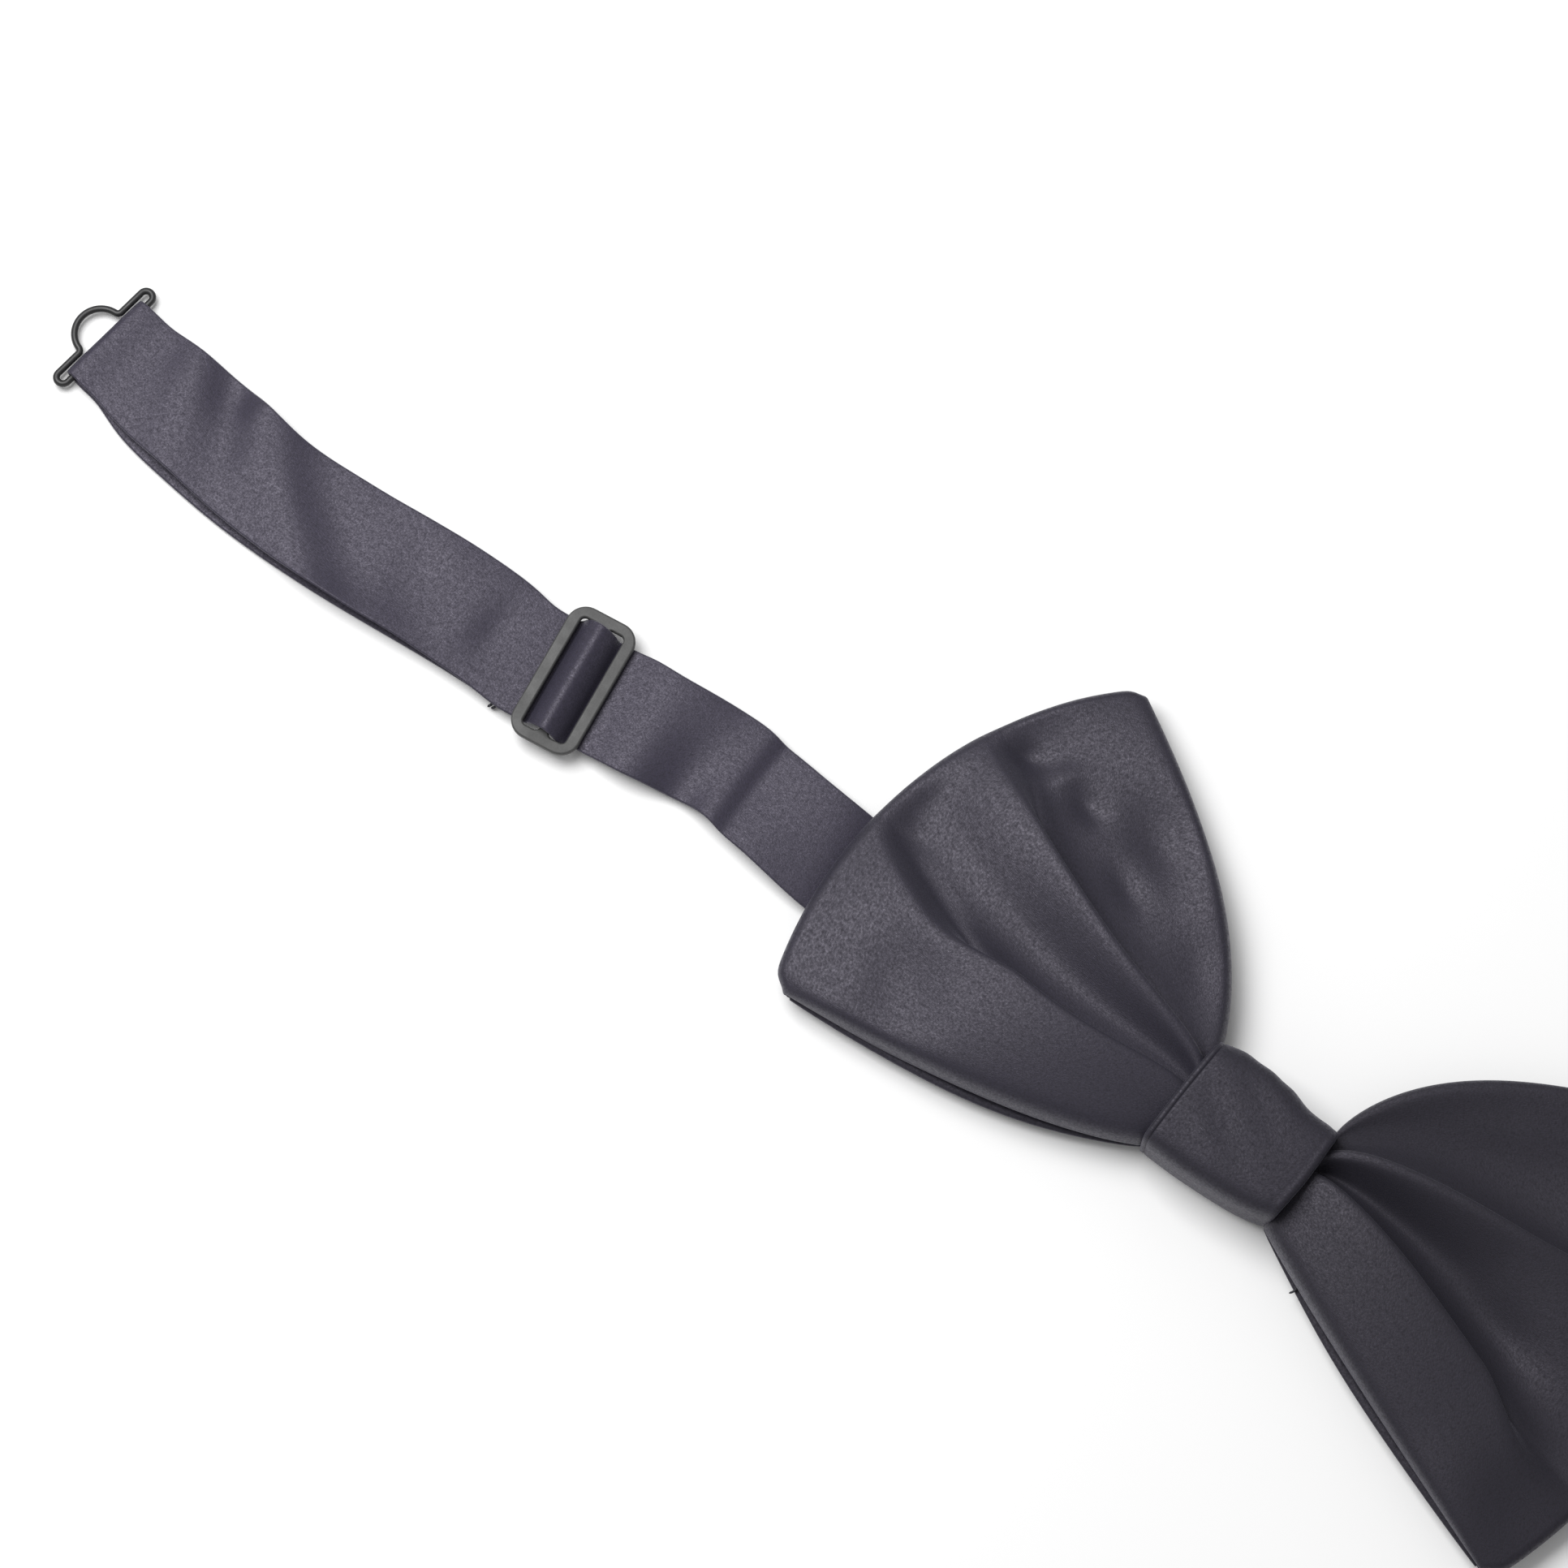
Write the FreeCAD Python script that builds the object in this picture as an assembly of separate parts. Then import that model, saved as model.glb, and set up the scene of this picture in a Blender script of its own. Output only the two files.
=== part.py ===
import FreeCAD, Part
import math
import os

# Pre-tied bow tie, laid out flat, front up. Millimetres, +Z up.
# The origin is on the resting plane, at the back of the knot.
# +X runs along the neckband towards the hook, +Y towards the wings' upper edges.

Vector = FreeCAD.Vector

# Neckband: one flat satin strap
BAND_W = 16.2            # strap width
BAND_T = 0.7             # strap thickness
FLAP_T = 0.6             # thickness of a turned-back, pressed flap
BAND_Z = 1.4             # underside of the strap inside and beside the knot
FRONT_Z = 1.8            # underside of the strap's front layer between slide and eye

# Knot: a padded wrap round the gathered bow
KNOT_HALF = 10.0         # half length of the knot along X
KNOT_Y = (-8.6, 9.6)     # lower and upper side of the knot
KNOT_H = 13.0            # height of the knot
KNOT_R = 3.4             # corner radius of the knot's section
WRAP_T = 0.8
LINING_T = 0.5
SLIT_Y = 4.0             # where the two ends of the wrap meet at the back
SLIT_W = 0.4

# Gathered bow inside the knot
GATHER_Y = (-6.9, 7.9)
GATHER_Z = (2.5, 11.3)
GATHER_R = 3.0
THREAD_R = 0.15
THREAD_TURNS = (-2.4, -1.2, 0.0, 1.2, 2.4)   # where the thread windings lie along X
SEAM_STITCH_L = 2.4      # stitches that close the wrap at the back
SEAM_PITCH = 3.6
SEAM_COUNT = 5
ANCHOR_X = 6.5           # stitches that hold the strap to the gathered bow
ANCHOR_Y = 4.4
ANCHOR_L = 1.6

# Wings: outline of the left wing, mirrored for the right
ROOT_X = 10.3            # where a wing starts, just outside the knot
ROOT_Y = (-7.4, 8.6)     # wing's lower and upper edge at the knot
TIP_LOW = (62.6, -23.4)  # lower outer tip
TIP_HIGH = (49.5, 42.0)  # upper outer tip
ARC_BULGE = 10.5         # how far the outer fold stands out from the line between the tips
PLY_T = 0.7              # thickness of one ply
BACK_Z = 2.5             # underside of the back ply
LINING_GAP = 0.5         # space between a front ply and its interlining
LINING_TRIM = 0.1        # share of the wing that the interlining is cut short by
PUFF_BASE = 4.6          # height of the front ply at its outer fold
PUFF_H = 9.2             # how far the front ply puffs up
PUFF_EDGE = 0.42         # share of the puff left at the wing's upper and lower edges
PUFF_PEAK = 0.3          # where the puff is highest, from knot 0 to outer fold 1
PUFF_ROOT = 0.62         # share of the puff at the knot
WING_STEPS = 10          # facets from the knot to the outer fold
EDGE_STEPS = 10          # facets from the lower to the upper edge

# Hinge lines where the strap leaves the knot
HINGE_X = 11.0
HINGE_GAP = 0.3          # from a hinge line to the strap that folds about it
CENTRE_HALF = 10.4       # half length of the strap's stretch through the knot
CENTRE_Y = 0.5           # its middle line
CENTRE_W = 12.0          # the wrap squeezes it narrower

# Slide adjuster: a stamped frame with three bars
SLIDE_POS = (-113.15, -5.25)
SLIDE_TURN = 10.0        # the slide sits slightly skewed on the strap, in degrees
SLIDE_L = 21.2           # along its bars
SLIDE_W = 10.5           # across its bars
SLIDE_T = 1.0
SLIDE_R = 2.9            # outer corner radius
WINDOW_R = 0.7           # corner radius of the two windows
SLIDE_BAR = 1.85         # width of the outer bars
SLIDE_END = 1.75         # width of the two ends
SLIDE_EDGE_R = 0.32      # rounding of the stamped edges
SLIDE_Z = FRONT_Z + BAND_T + 0.1
CENTRE_BAR = 1.5         # width of the middle bar
WEAVE_W = 16.2           # strap width in the slide
WEAVE_REACH = 6.9        # half length of the strap that travels with the slide
WEAVE_T = 0.6
WEAVE_GAP = 0.1          # running fit of the strap over the sewn loop, and of the loop round the bar
ROLL_HALF = 1.4          # half width of the flat top where the strap passes over the middle bar
ROLL_FOOT = 3.2          # where it has come down to the outer bars
JOIN_GAP = 1.7           # from the skewed strap in the slide to the strap that runs on from it
TACK_REACH = 9.6         # how far the sewn loop reaches from the slide's middle
TACK_INSET = 1.6         # from the loop's end to its row of stitches
TACK_R = 0.18            # stitches of a bar tack
TACK_PITCH = 1.9
TACK_COUNT = 7

# Eye: one closed wire loop on the strap's fold
EYE_POS = (-196.7, -7.4)  # middle of the loop's inner bar
EYE_TURN = -5.0
BAR_R = 0.5              # wire radius
FOLD_CLEAR = 0.05        # running fit of a wire bar in its cloth fold
FOLD_W = 14.4            # strap width at a fold
EAR_R = 0.95             # wire's centre-line radius at the ears
EYE_HALF = 8.3           # half length of the straight inner bar
LOOP_R = 3.7             # radius of the D, to the wire's centre
LOOP_OUT = 5.5           # how far the D reaches from the inner bar, to the wire's centre
NECK_R = 0.7             # small hollow bends between the shoulders and the D
FOLD_REACH = 6.0         # length of strap that stays with a fold

# Hook: wire frame like the eye's, with a flat tongue turned back on itself
HOOK_POS = (186.0, -1.0)
HOOK_FLAP = 12.0         # length of the sewn-back end of the right strap
TONGUE_W = 6.4
TONGUE_T = 0.8
TONGUE_OUT = 11.0
HOOK_GAP = 1.5           # room for the eye's wire inside the hook
HOOK_TIP = 7.0           # length of the turned-back tip
HOOK_TIP_R = 2.4         # corner radius of the tip

# Strap centre lines, outwards from the knot: (x, y, underside z)
RUN_START = -70.0        # from here on the slide may gather or release the strap
LEFT_INNER = [(-HINGE_X - HINGE_GAP, 0.3, BAND_Z), (-40.0, -0.9, BAND_Z), (RUN_START, -2.1, BAND_Z)]
LEFT_RUN = [(RUN_START - 0.1, -2.1, BAND_Z), (-88.0, -2.3, BAND_Z), (-100.0, -3.7, FRONT_Z)]
LEFT_OUTER = [(-126.0, -6.9), (-145.0, -8.5), (-160.0, -8.4), (-175.0, -7.3)]
TAIL_SHIFT = -1.1        # the back layer lies a little lower than the front one
RIGHT_BAND = [(HINGE_X + HINGE_GAP, 0.3, BAND_Z), (60.0, -0.6, BAND_Z), (120.0, -1.2, BAND_Z)]


def save(node, shape):
    """Write one sub-part, after checking that its solids are sound."""
    solids = shape.Solids
    if not solids or not all(solid.isValid() and solid.Volume > 0 for solid in solids):
        raise ValueError("%s is not sound" % node)
    shape.exportStep("parts/%s.step" % node)


def placed(shape, pos, turn):
    """Turn a shape about Z and move it from the origin to pos."""
    result = shape.copy()
    result.rotate(Vector(0, 0, 0), Vector(0, 0, 1), turn)
    result.translate(Vector(pos[0], pos[1], 0))
    return result


def local_point(pos, turn, x, y):
    """Where a point of a turned and moved piece ends up."""
    angle = math.radians(turn)
    return (pos[0] + x * math.cos(angle) - y * math.sin(angle),
            pos[1] + x * math.sin(angle) + y * math.cos(angle))


def strap(stations, width, thickness):
    """A flat strap through (x, y, underside z) stations, with straight spans."""
    sections = []
    for x, y, z in stations:
        corners = [Vector(x, y - width / 2, z), Vector(x, y + width / 2, z),
                   Vector(x, y + width / 2, z + thickness), Vector(x, y - width / 2, z + thickness)]
        sections.append(Part.makePolygon(corners + corners[:1]))
    return Part.makeLoft(sections, True, True)


def layer(path, width, thickness):
    """A strap of even thickness along an X-Z path of its middle line, width along Y."""
    upper = []
    lower = []
    for index, (x, z) in enumerate(path):
        before = path[max(index - 1, 0)]
        after = path[min(index + 1, len(path) - 1)]
        into = Vector(x - before[0], 0, z - before[1])
        out = Vector(after[0] - x, 0, after[1] - z)
        if into.Length == 0:
            into = out
        if out.Length == 0:
            out = into
        into.normalize()
        out.normalize()
        along = (into + out).normalize()
        reach = thickness / 2 / max(along.dot(into), 0.5)
        side = Vector(-along.z, 0, along.x) * reach
        upper.append(Vector(x, -width / 2, z) + side)
        lower.append(Vector(x, -width / 2, z) - side)
    outline = upper + lower[::-1]
    face = Part.Face(Part.makePolygon(outline + outline[:1]))
    return face.extrude(Vector(0, width, 0))


def rounded_prism(x0, x1, y_range, z_range, radius):
    """A bar along X whose Y-Z section is a rounded rectangle."""
    block = Part.makeBox(x1 - x0, y_range[1] - y_range[0], z_range[1] - z_range[0],
                         Vector(x0, y_range[0], z_range[0]))
    long_edges = [edge for edge in block.Edges
                  if abs(edge.Vertexes[0].X - edge.Vertexes[-1].X) > (x1 - x0) / 2]
    return block.makeFillet(radius, long_edges)


def sleeve(x0, x1, y_range, z_range, radius, wall):
    """A tube along X: a rounded prism with a smaller one taken out."""
    outer = rounded_prism(x0, x1, y_range, z_range, radius)
    inner = rounded_prism(x0 - 1, x1 + 1, (y_range[0] + wall, y_range[1] - wall),
                          (z_range[0] + wall, z_range[1] - wall), radius - wall)
    return outer.cut(inner)


def knot_parts():
    """The knot's wrap, its interlining and the stitches that close it at the back."""
    wrap = sleeve(-KNOT_HALF, KNOT_HALF, KNOT_Y, (0, KNOT_H), KNOT_R, WRAP_T)
    slit = Part.makeBox(2 * KNOT_HALF + 2, SLIT_W, 2 * WRAP_T,
                        Vector(-KNOT_HALF - 1, SLIT_Y - SLIT_W / 2, -WRAP_T / 2))
    save("knot_wrap", wrap.cut(slit))
    inset = WRAP_T + 0.05
    lining = sleeve(-KNOT_HALF + 0.4, KNOT_HALF - 0.4, (KNOT_Y[0] + inset, KNOT_Y[1] - inset),
                    (inset, KNOT_H - inset), KNOT_R - inset, LINING_T)
    save("knot_interlining", lining)
    stitches = []
    for index in range(SEAM_COUNT):
        x = (index - (SEAM_COUNT - 1) / 2) * SEAM_PITCH
        start = Vector(x - 0.3, SLIT_Y - SEAM_STITCH_L / 2, WRAP_T / 2)
        stitches.append(Part.makeCylinder(THREAD_R, SEAM_STITCH_L, start, Vector(0.2, 1, 0)))
    save("knot_back_stitches", Part.makeCompound(stitches))


def gather_parts():
    """The pleated middle of the bow, its thread windings and the strap that passes behind it."""
    half = KNOT_HALF - 0.1
    gather = rounded_prism(-half, half, GATHER_Y, GATHER_Z, GATHER_R)
    save("bow_centre_gather", gather)
    windings = []
    wide = 2 * THREAD_R
    for x in THREAD_TURNS:
        windings.append(sleeve(x - THREAD_R, x + THREAD_R, (GATHER_Y[0] - wide, GATHER_Y[1] + wide),
                               (GATHER_Z[0] - wide, GATHER_Z[1] + wide), GATHER_R + wide, wide - 0.02))
    save("gather_thread", Part.makeCompound(windings))
    ends = [(-CENTRE_HALF, CENTRE_Y, BAND_Z), (CENTRE_HALF, CENTRE_Y, BAND_Z)]
    save("band_centre", strap(ends, CENTRE_W, BAND_T))
    anchors = []
    for x in (-ANCHOR_X, ANCHOR_X):
        for y in (CENTRE_Y - ANCHOR_Y, CENTRE_Y, CENTRE_Y + ANCHOR_Y):
            start = Vector(x, y, BAND_Z + 0.2)
            anchors.append(Part.makeCylinder(THREAD_R, ANCHOR_L, start, Vector(0, 0, 1)))
    save("band_anchor_stitches", Part.makeCompound(anchors))


def wing_point(along, across):
    """Plan position on the left wing: along 0 knot, 1 outer fold; across 0 lower, 1 upper edge."""
    root_y = ROOT_Y[0] + (ROOT_Y[1] - ROOT_Y[0]) * across
    chord_x = TIP_LOW[0] + (TIP_HIGH[0] - TIP_LOW[0]) * across
    tip_y = TIP_LOW[1] + (TIP_HIGH[1] - TIP_LOW[1]) * across
    tip_x = chord_x + ARC_BULGE * math.sin(math.pi * across)
    x = ROOT_X + (tip_x - ROOT_X) * along
    y = root_y + (tip_y - root_y) * along
    return x, y


def puff(along, across):
    """Height of the front ply's upper side."""
    if along < PUFF_PEAK:
        rise = PUFF_ROOT + (1 - PUFF_ROOT) * math.sin(math.pi / 2 * along / PUFF_PEAK)
    else:
        rise = math.cos(math.pi / 2 * (along - PUFF_PEAK) / (1 - PUFF_PEAK))
    edge = PUFF_EDGE + (1 - PUFF_EDGE) * math.sin(math.pi * across)
    return PUFF_BASE + PUFF_H * rise * edge


def sheet(height, thickness, side, trim):
    """A closed sheet over one wing: height(along, across) is its upper side, trim its inset."""
    top = []
    bottom = []
    for i in range(WING_STEPS + 1):
        along = i / WING_STEPS * (1 - trim)
        top_row = []
        bottom_row = []
        for j in range(EDGE_STEPS + 1):
            across = trim / 2 + j / EDGE_STEPS * (1 - trim)
            x, y = wing_point(along, across)
            z = height(along, across)
            top_row.append(Vector(side * x, y, z))
            bottom_row.append(Vector(side * x, y, z - thickness))
        top.append(top_row)
        bottom.append(bottom_row)
    quads = []
    for i in range(WING_STEPS):
        for j in range(EDGE_STEPS):
            quads.append((top[i][j], top[i + 1][j], top[i + 1][j + 1], top[i][j + 1]))
            quads.append((bottom[i][j], bottom[i][j + 1], bottom[i + 1][j + 1], bottom[i + 1][j]))
        for j in (0, EDGE_STEPS):
            quads.append((top[i][j], top[i + 1][j], bottom[i + 1][j], bottom[i][j]))
    for j in range(EDGE_STEPS):
        for i in (0, WING_STEPS):
            quads.append((top[i][j], top[i][j + 1], bottom[i][j + 1], bottom[i][j]))
    faces = []
    for a, b, c, d in quads:
        faces.append(Part.Face(Part.makePolygon([a, b, c, a])))
        faces.append(Part.Face(Part.makePolygon([a, c, d, a])))
    shell = Part.makeShell(faces)
    shell.sewShape()
    solid = Part.makeSolid(shell)
    if solid.Volume < 0:
        solid.reverse()
    return solid


def back_height(along, across):
    """Height of the back ply's upper side: flat, rising a little to the outer fold."""
    return BACK_Z + PLY_T + 0.5 * along ** 3


def lining_height(along, across):
    """The interlining follows the front ply from below."""
    return puff(along, across) - PLY_T - LINING_GAP


def wing_parts(name, side):
    """Front ply, interlining and back ply of one wing."""
    save("bow_%s_front_ply" % name, sheet(puff, PLY_T, side, 0.0))
    save("bow_%s_interlining" % name, sheet(lining_height, LINING_T, side, LINING_TRIM))
    save("bow_%s_back_ply" % name, sheet(back_height, PLY_T, side, 0.0))


def slide_frame():
    """The stamped three-bar adjuster, about its own middle, with rounded edges."""
    frame = Part.makeBox(SLIDE_W, SLIDE_L, SLIDE_T, Vector(-SLIDE_W / 2, -SLIDE_L / 2, SLIDE_Z))
    corners = [edge for edge in frame.Edges
               if abs(edge.Vertexes[0].Z - edge.Vertexes[-1].Z) > SLIDE_T / 2]
    frame = frame.makeFillet(SLIDE_R, corners)
    window_w = (SLIDE_W - 2 * SLIDE_BAR - CENTRE_BAR) / 2
    window_l = SLIDE_L - 2 * SLIDE_END
    for side in (-1, 1):
        middle = side * (CENTRE_BAR + window_w) / 2
        window = Part.makeBox(window_w, window_l, 3 * SLIDE_T,
                              Vector(middle - window_w / 2, -window_l / 2, SLIDE_Z - SLIDE_T))
        upright = [edge for edge in window.Edges
                   if abs(edge.Vertexes[0].Z - edge.Vertexes[-1].Z) > SLIDE_T]
        frame = frame.cut(window.makeFillet(WINDOW_R, upright))
    rims = [edge for edge in frame.Edges
            if abs(edge.Vertexes[0].Z - edge.Vertexes[-1].Z) < 1e-6]
    return frame.makeFillet(SLIDE_EDGE_R, rims)


def weave():
    """The strap's stretch in the slide: under both outer bars and over the middle one."""
    low = FRONT_Z + WEAVE_T / 2
    high = SLIDE_Z + SLIDE_T + WEAVE_GAP + FLAP_T + WEAVE_GAP + WEAVE_T / 2
    half = [(ROLL_HALF, high), (ROLL_HALF + 0.6, high - 0.7), (ROLL_FOOT - 0.8, low + 0.5), (ROLL_FOOT, low),
            (WEAVE_REACH, low)]
    path = [(-x, z) for x, z in reversed(half)] + half
    return layer(path, WEAVE_W, WEAVE_T)


def tail_loop():
    """The sewn end of the strap: round the middle bar and back over itself."""
    inner_half = CENTRE_BAR / 2 + WEAVE_GAP
    outer_half = inner_half + 0.45
    z0 = SLIDE_Z - WEAVE_GAP
    z1 = SLIDE_Z + SLIDE_T + WEAVE_GAP
    ring = Part.makeBox(2 * outer_half, FOLD_W, z1 - z0 + 2 * FLAP_T,
                        Vector(-outer_half, -FOLD_W / 2, z0 - FLAP_T))
    ring = ring.makeFillet(0.5, [edge for edge in ring.Edges
                                 if abs(edge.Vertexes[0].Y - edge.Vertexes[-1].Y) > 1])
    hole = Part.makeBox(2 * inner_half, FOLD_W + 2, z1 - z0, Vector(-inner_half, -FOLD_W / 2 - 1, z0))
    ring = ring.cut(hole)
    tail_z = BAND_T / 2
    flap_z = BAND_T + 0.05 + FLAP_T / 2
    link_z = z0 - FLAP_T / 2
    tail = layer([(0.9, link_z), (-0.4, link_z), (-2.2, tail_z), (-TACK_REACH, tail_z)], FOLD_W, BAND_T)
    flap = layer([(-0.2, link_z - 0.15), (-2.2, flap_z), (-TACK_REACH + 0.7, flap_z)], FOLD_W, FLAP_T)
    return ring.fuse([tail, flap]).removeSplitter()


def tack(x, z0, z1):
    """A bar tack: a row of short thread stitches right through the layers."""
    stitches = []
    for index in range(TACK_COUNT):
        y = (index - (TACK_COUNT - 1) / 2) * TACK_PITCH
        stitches.append(Part.makeCylinder(TACK_R, z1 - z0, Vector(x, y, z0), Vector(0, 0, 1)))
    return Part.makeCompound(stitches)


def bar_fold(outward):
    """The strap's fold round a wire bar at the origin; outward is -1 or +1 along X."""
    inner = BAR_R + FOLD_CLEAR
    outer = inner + BAND_T
    centre = Vector(0, -FOLD_W / 2, outer)
    along = Vector(0, 1, 0)
    fold = Part.makeCylinder(outer, FOLD_W, centre, along)
    front = Part.makeBox(FOLD_REACH, FOLD_W, BAND_T, Vector(0, -FOLD_W / 2, 2 * outer - BAND_T))
    back = Part.makeBox(FOLD_REACH, FOLD_W, BAND_T, Vector(0, -FOLD_W / 2, 0))
    hollow = Part.makeCylinder(inner, FOLD_W + 2, centre - along, along)
    slot = Part.makeBox(FOLD_REACH + 1, FOLD_W + 2, 2 * inner,
                        Vector(0, -FOLD_W / 2 - 1, outer - inner))
    fold = fold.fuse([front, back]).cut(hollow.fuse(slot)).removeSplitter()
    if outward > 0:
        fold.rotate(Vector(0, 0, 0), Vector(0, 0, 1), 180)
    return fold


def bar_height():
    """Height of a wire bar's axis above the resting plane."""
    return BAR_R + FOLD_CLEAR + BAND_T


def arc_edge(centre, radius, start, end):
    """An arc in the X-Y plane, with angles in degrees."""
    def at(angle):
        turn = math.radians(angle)
        return centre + Vector(radius * math.cos(turn), radius * math.sin(turn), 0)
    return Part.Arc(at(start), at((start + end) / 2), at(end)).toShape()


def half_frame_edges(shoulder_end, z):
    """Wire from the middle of the inner bar, round an ear, to the end of the shoulder."""
    ear = arc_edge(Vector(-EAR_R, EYE_HALF, z), EAR_R, 0, 180)
    bar = Part.LineSegment(Vector(0, 0, z), Vector(0, EYE_HALF, z)).toShape()
    shoulder = Part.LineSegment(Vector(-2 * EAR_R, EYE_HALF, z), Vector(-2 * EAR_R, shoulder_end, z))
    return [bar, ear, shoulder.toShape()]


def mirrored(edges):
    """The same edges on the other side of the X axis."""
    return [edge.mirror(Vector(0, 0, 0), Vector(0, 1, 0)) for edge in edges]


def wire_sweep(edges, start, direction):
    """Round wire of radius BAR_R along the edges."""
    spine = Part.Wire(Part.__sortEdges__(edges))
    section = Part.Wire(Part.makeCircle(BAR_R, start, direction))
    return spine.makePipeShell([section], True, True)


def eye_loop():
    """The closed wire loop: inner bar, two ears, two shoulders and the D."""
    z = bar_height()
    centre_x = LOOP_R - LOOP_OUT
    neck_x = -2 * EAR_R - NECK_R
    neck_y = math.sqrt((LOOP_R + NECK_R) ** 2 - (neck_x - centre_x) ** 2)
    lean = math.degrees(math.atan2(neck_y, neck_x - centre_x))
    edges = half_frame_edges(neck_y, z)
    edges.append(arc_edge(Vector(neck_x, neck_y, z), NECK_R, 0, lean - 180))
    edges.append(arc_edge(Vector(centre_x, 0, z), LOOP_R, lean, 180))
    return wire_sweep(edges + mirrored(edges), Vector(0, 0, z), Vector(0, 1, 0))


def hook_body():
    """Wire bar and shoulders like the eye's, and a flat tongue turned back over itself."""
    z = bar_height()
    edges = half_frame_edges(0.0, z)
    frame = wire_sweep(edges + mirrored(edges), Vector(0, 0, z), Vector(0, 1, 0))
    bend_r = HOOK_GAP / 2 + TONGUE_T
    axis = Vector(-TONGUE_OUT + bend_r, -TONGUE_W / 2, z - TONGUE_T / 2 + bend_r)
    root_x = -2 * EAR_R + 0.1
    tongue = Part.makeBox(root_x - axis.x, TONGUE_W, TONGUE_T,
                          Vector(axis.x, -TONGUE_W / 2, z - TONGUE_T / 2))
    tip = Part.makeBox(HOOK_TIP - bend_r, TONGUE_W, TONGUE_T,
                       Vector(axis.x, -TONGUE_W / 2, axis.z + HOOK_GAP / 2))
    far_corners = [edge for edge in tip.Edges
                   if abs(edge.Vertexes[0].Z - edge.Vertexes[-1].Z) > TONGUE_T / 2
                   and edge.Vertexes[0].X > axis.x + 0.5]
    tip = tip.makeFillet(HOOK_TIP_R, far_corners)
    bend = Part.makeCylinder(bend_r, TONGUE_W, axis, Vector(0, 1, 0))
    hollow = Part.makeCylinder(HOOK_GAP / 2, TONGUE_W + 2, axis - Vector(0, 1, 0), Vector(0, 1, 0))
    open_side = Part.makeBox(HOOK_TIP + 8, TONGUE_W + 2, HOOK_GAP,
                             Vector(axis.x, -TONGUE_W / 2 - 1, axis.z - HOOK_GAP / 2))
    outer_half = bend.common(Part.makeBox(bend_r + 0.001, TONGUE_W, 2 * bend_r,
                                          Vector(axis.x - bend_r, -TONGUE_W / 2, axis.z - bend_r)))
    hook = outer_half.cut(hollow.fuse(open_side)).fuse([tongue, tip])
    return frame.fuse(hook).removeSplitter()


def left_strap_parts():
    """The adjustable side: strap, slide, sewn loop, fold and eye."""
    save("band_left_inner", strap(LEFT_INNER, BAND_W, BAND_T))
    entry = local_point(SLIDE_POS, SLIDE_TURN, WEAVE_REACH + JOIN_GAP, 0)
    save("band_left_run", strap(LEFT_RUN + [(entry[0], entry[1], FRONT_Z)], BAND_W, BAND_T))
    save("adjuster_slide", placed(slide_frame(), SLIDE_POS, SLIDE_TURN))
    save("band_weave", placed(weave(), SLIDE_POS, SLIDE_TURN))
    save("band_tail_loop", placed(tail_loop(), SLIDE_POS, SLIDE_TURN))
    tack_x = -TACK_REACH + TACK_INSET
    save("tail_bar_tack", placed(tack(tack_x, 0.1, BAND_T + FLAP_T - 0.05), SLIDE_POS, SLIDE_TURN))
    exit_front = local_point(SLIDE_POS, SLIDE_TURN, -WEAVE_REACH - JOIN_GAP, 0)
    exit_back = local_point(SLIDE_POS, SLIDE_TURN, -TACK_REACH - JOIN_GAP, 0)
    fold = local_point(EYE_POS, EYE_TURN, FOLD_REACH + 0.8, 0)
    fold_z = 2 * bar_height() - BAND_T
    front = [exit_front + (FRONT_Z,)]
    back = [exit_back + (0.0,)]
    for x, y in LEFT_OUTER:
        front.append((x, y, FRONT_Z))
        back.append((x, y + TAIL_SHIFT, 0.0))
    save("band_left_outer", strap(front + [fold + (fold_z,)], BAND_W, BAND_T))
    save("band_tail", strap(back + [fold + (0.0,)], BAND_W, BAND_T))
    save("band_eye_fold", placed(bar_fold(-1), EYE_POS, EYE_TURN))
    save("eye_fitting", placed(eye_loop(), EYE_POS, EYE_TURN))


def right_strap_parts():
    """The fixed side: strap, sewn fold and hook."""
    end = (HOOK_POS[0] - HOOK_FLAP - 0.05, HOOK_POS[1], 2 * bar_height() - BAND_T)
    save("band_right", strap(RIGHT_BAND + [end], BAND_W, BAND_T))
    top = Part.makeBox(HOOK_FLAP - FOLD_REACH, FOLD_W, BAND_T,
                       Vector(-HOOK_FLAP, -FOLD_W / 2, 2 * bar_height() - BAND_T))
    flap = Part.makeBox(HOOK_FLAP - FOLD_REACH, FOLD_W, BAND_T, Vector(-HOOK_FLAP, -FOLD_W / 2, 0))
    fold = bar_fold(1).fuse([top, flap]).removeSplitter()
    save("band_right_fold", placed(fold, HOOK_POS, 0))
    stitches = tack(-HOOK_FLAP + TACK_INSET, 0.1, 2 * bar_height() - 0.1)
    save("hook_bar_tack", placed(stitches, HOOK_POS, 0))
    hook = hook_body()
    hook.rotate(Vector(0, 0, 0), Vector(0, 0, 1), 180)
    save("hook_fitting", placed(hook, HOOK_POS, 0))


def main():
    os.makedirs("parts", exist_ok=True)
    knot_parts()
    gather_parts()
    wing_parts("left", -1)
    wing_parts("right", 1)
    left_strap_parts()
    right_strap_parts()


main()
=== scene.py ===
import math

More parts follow.
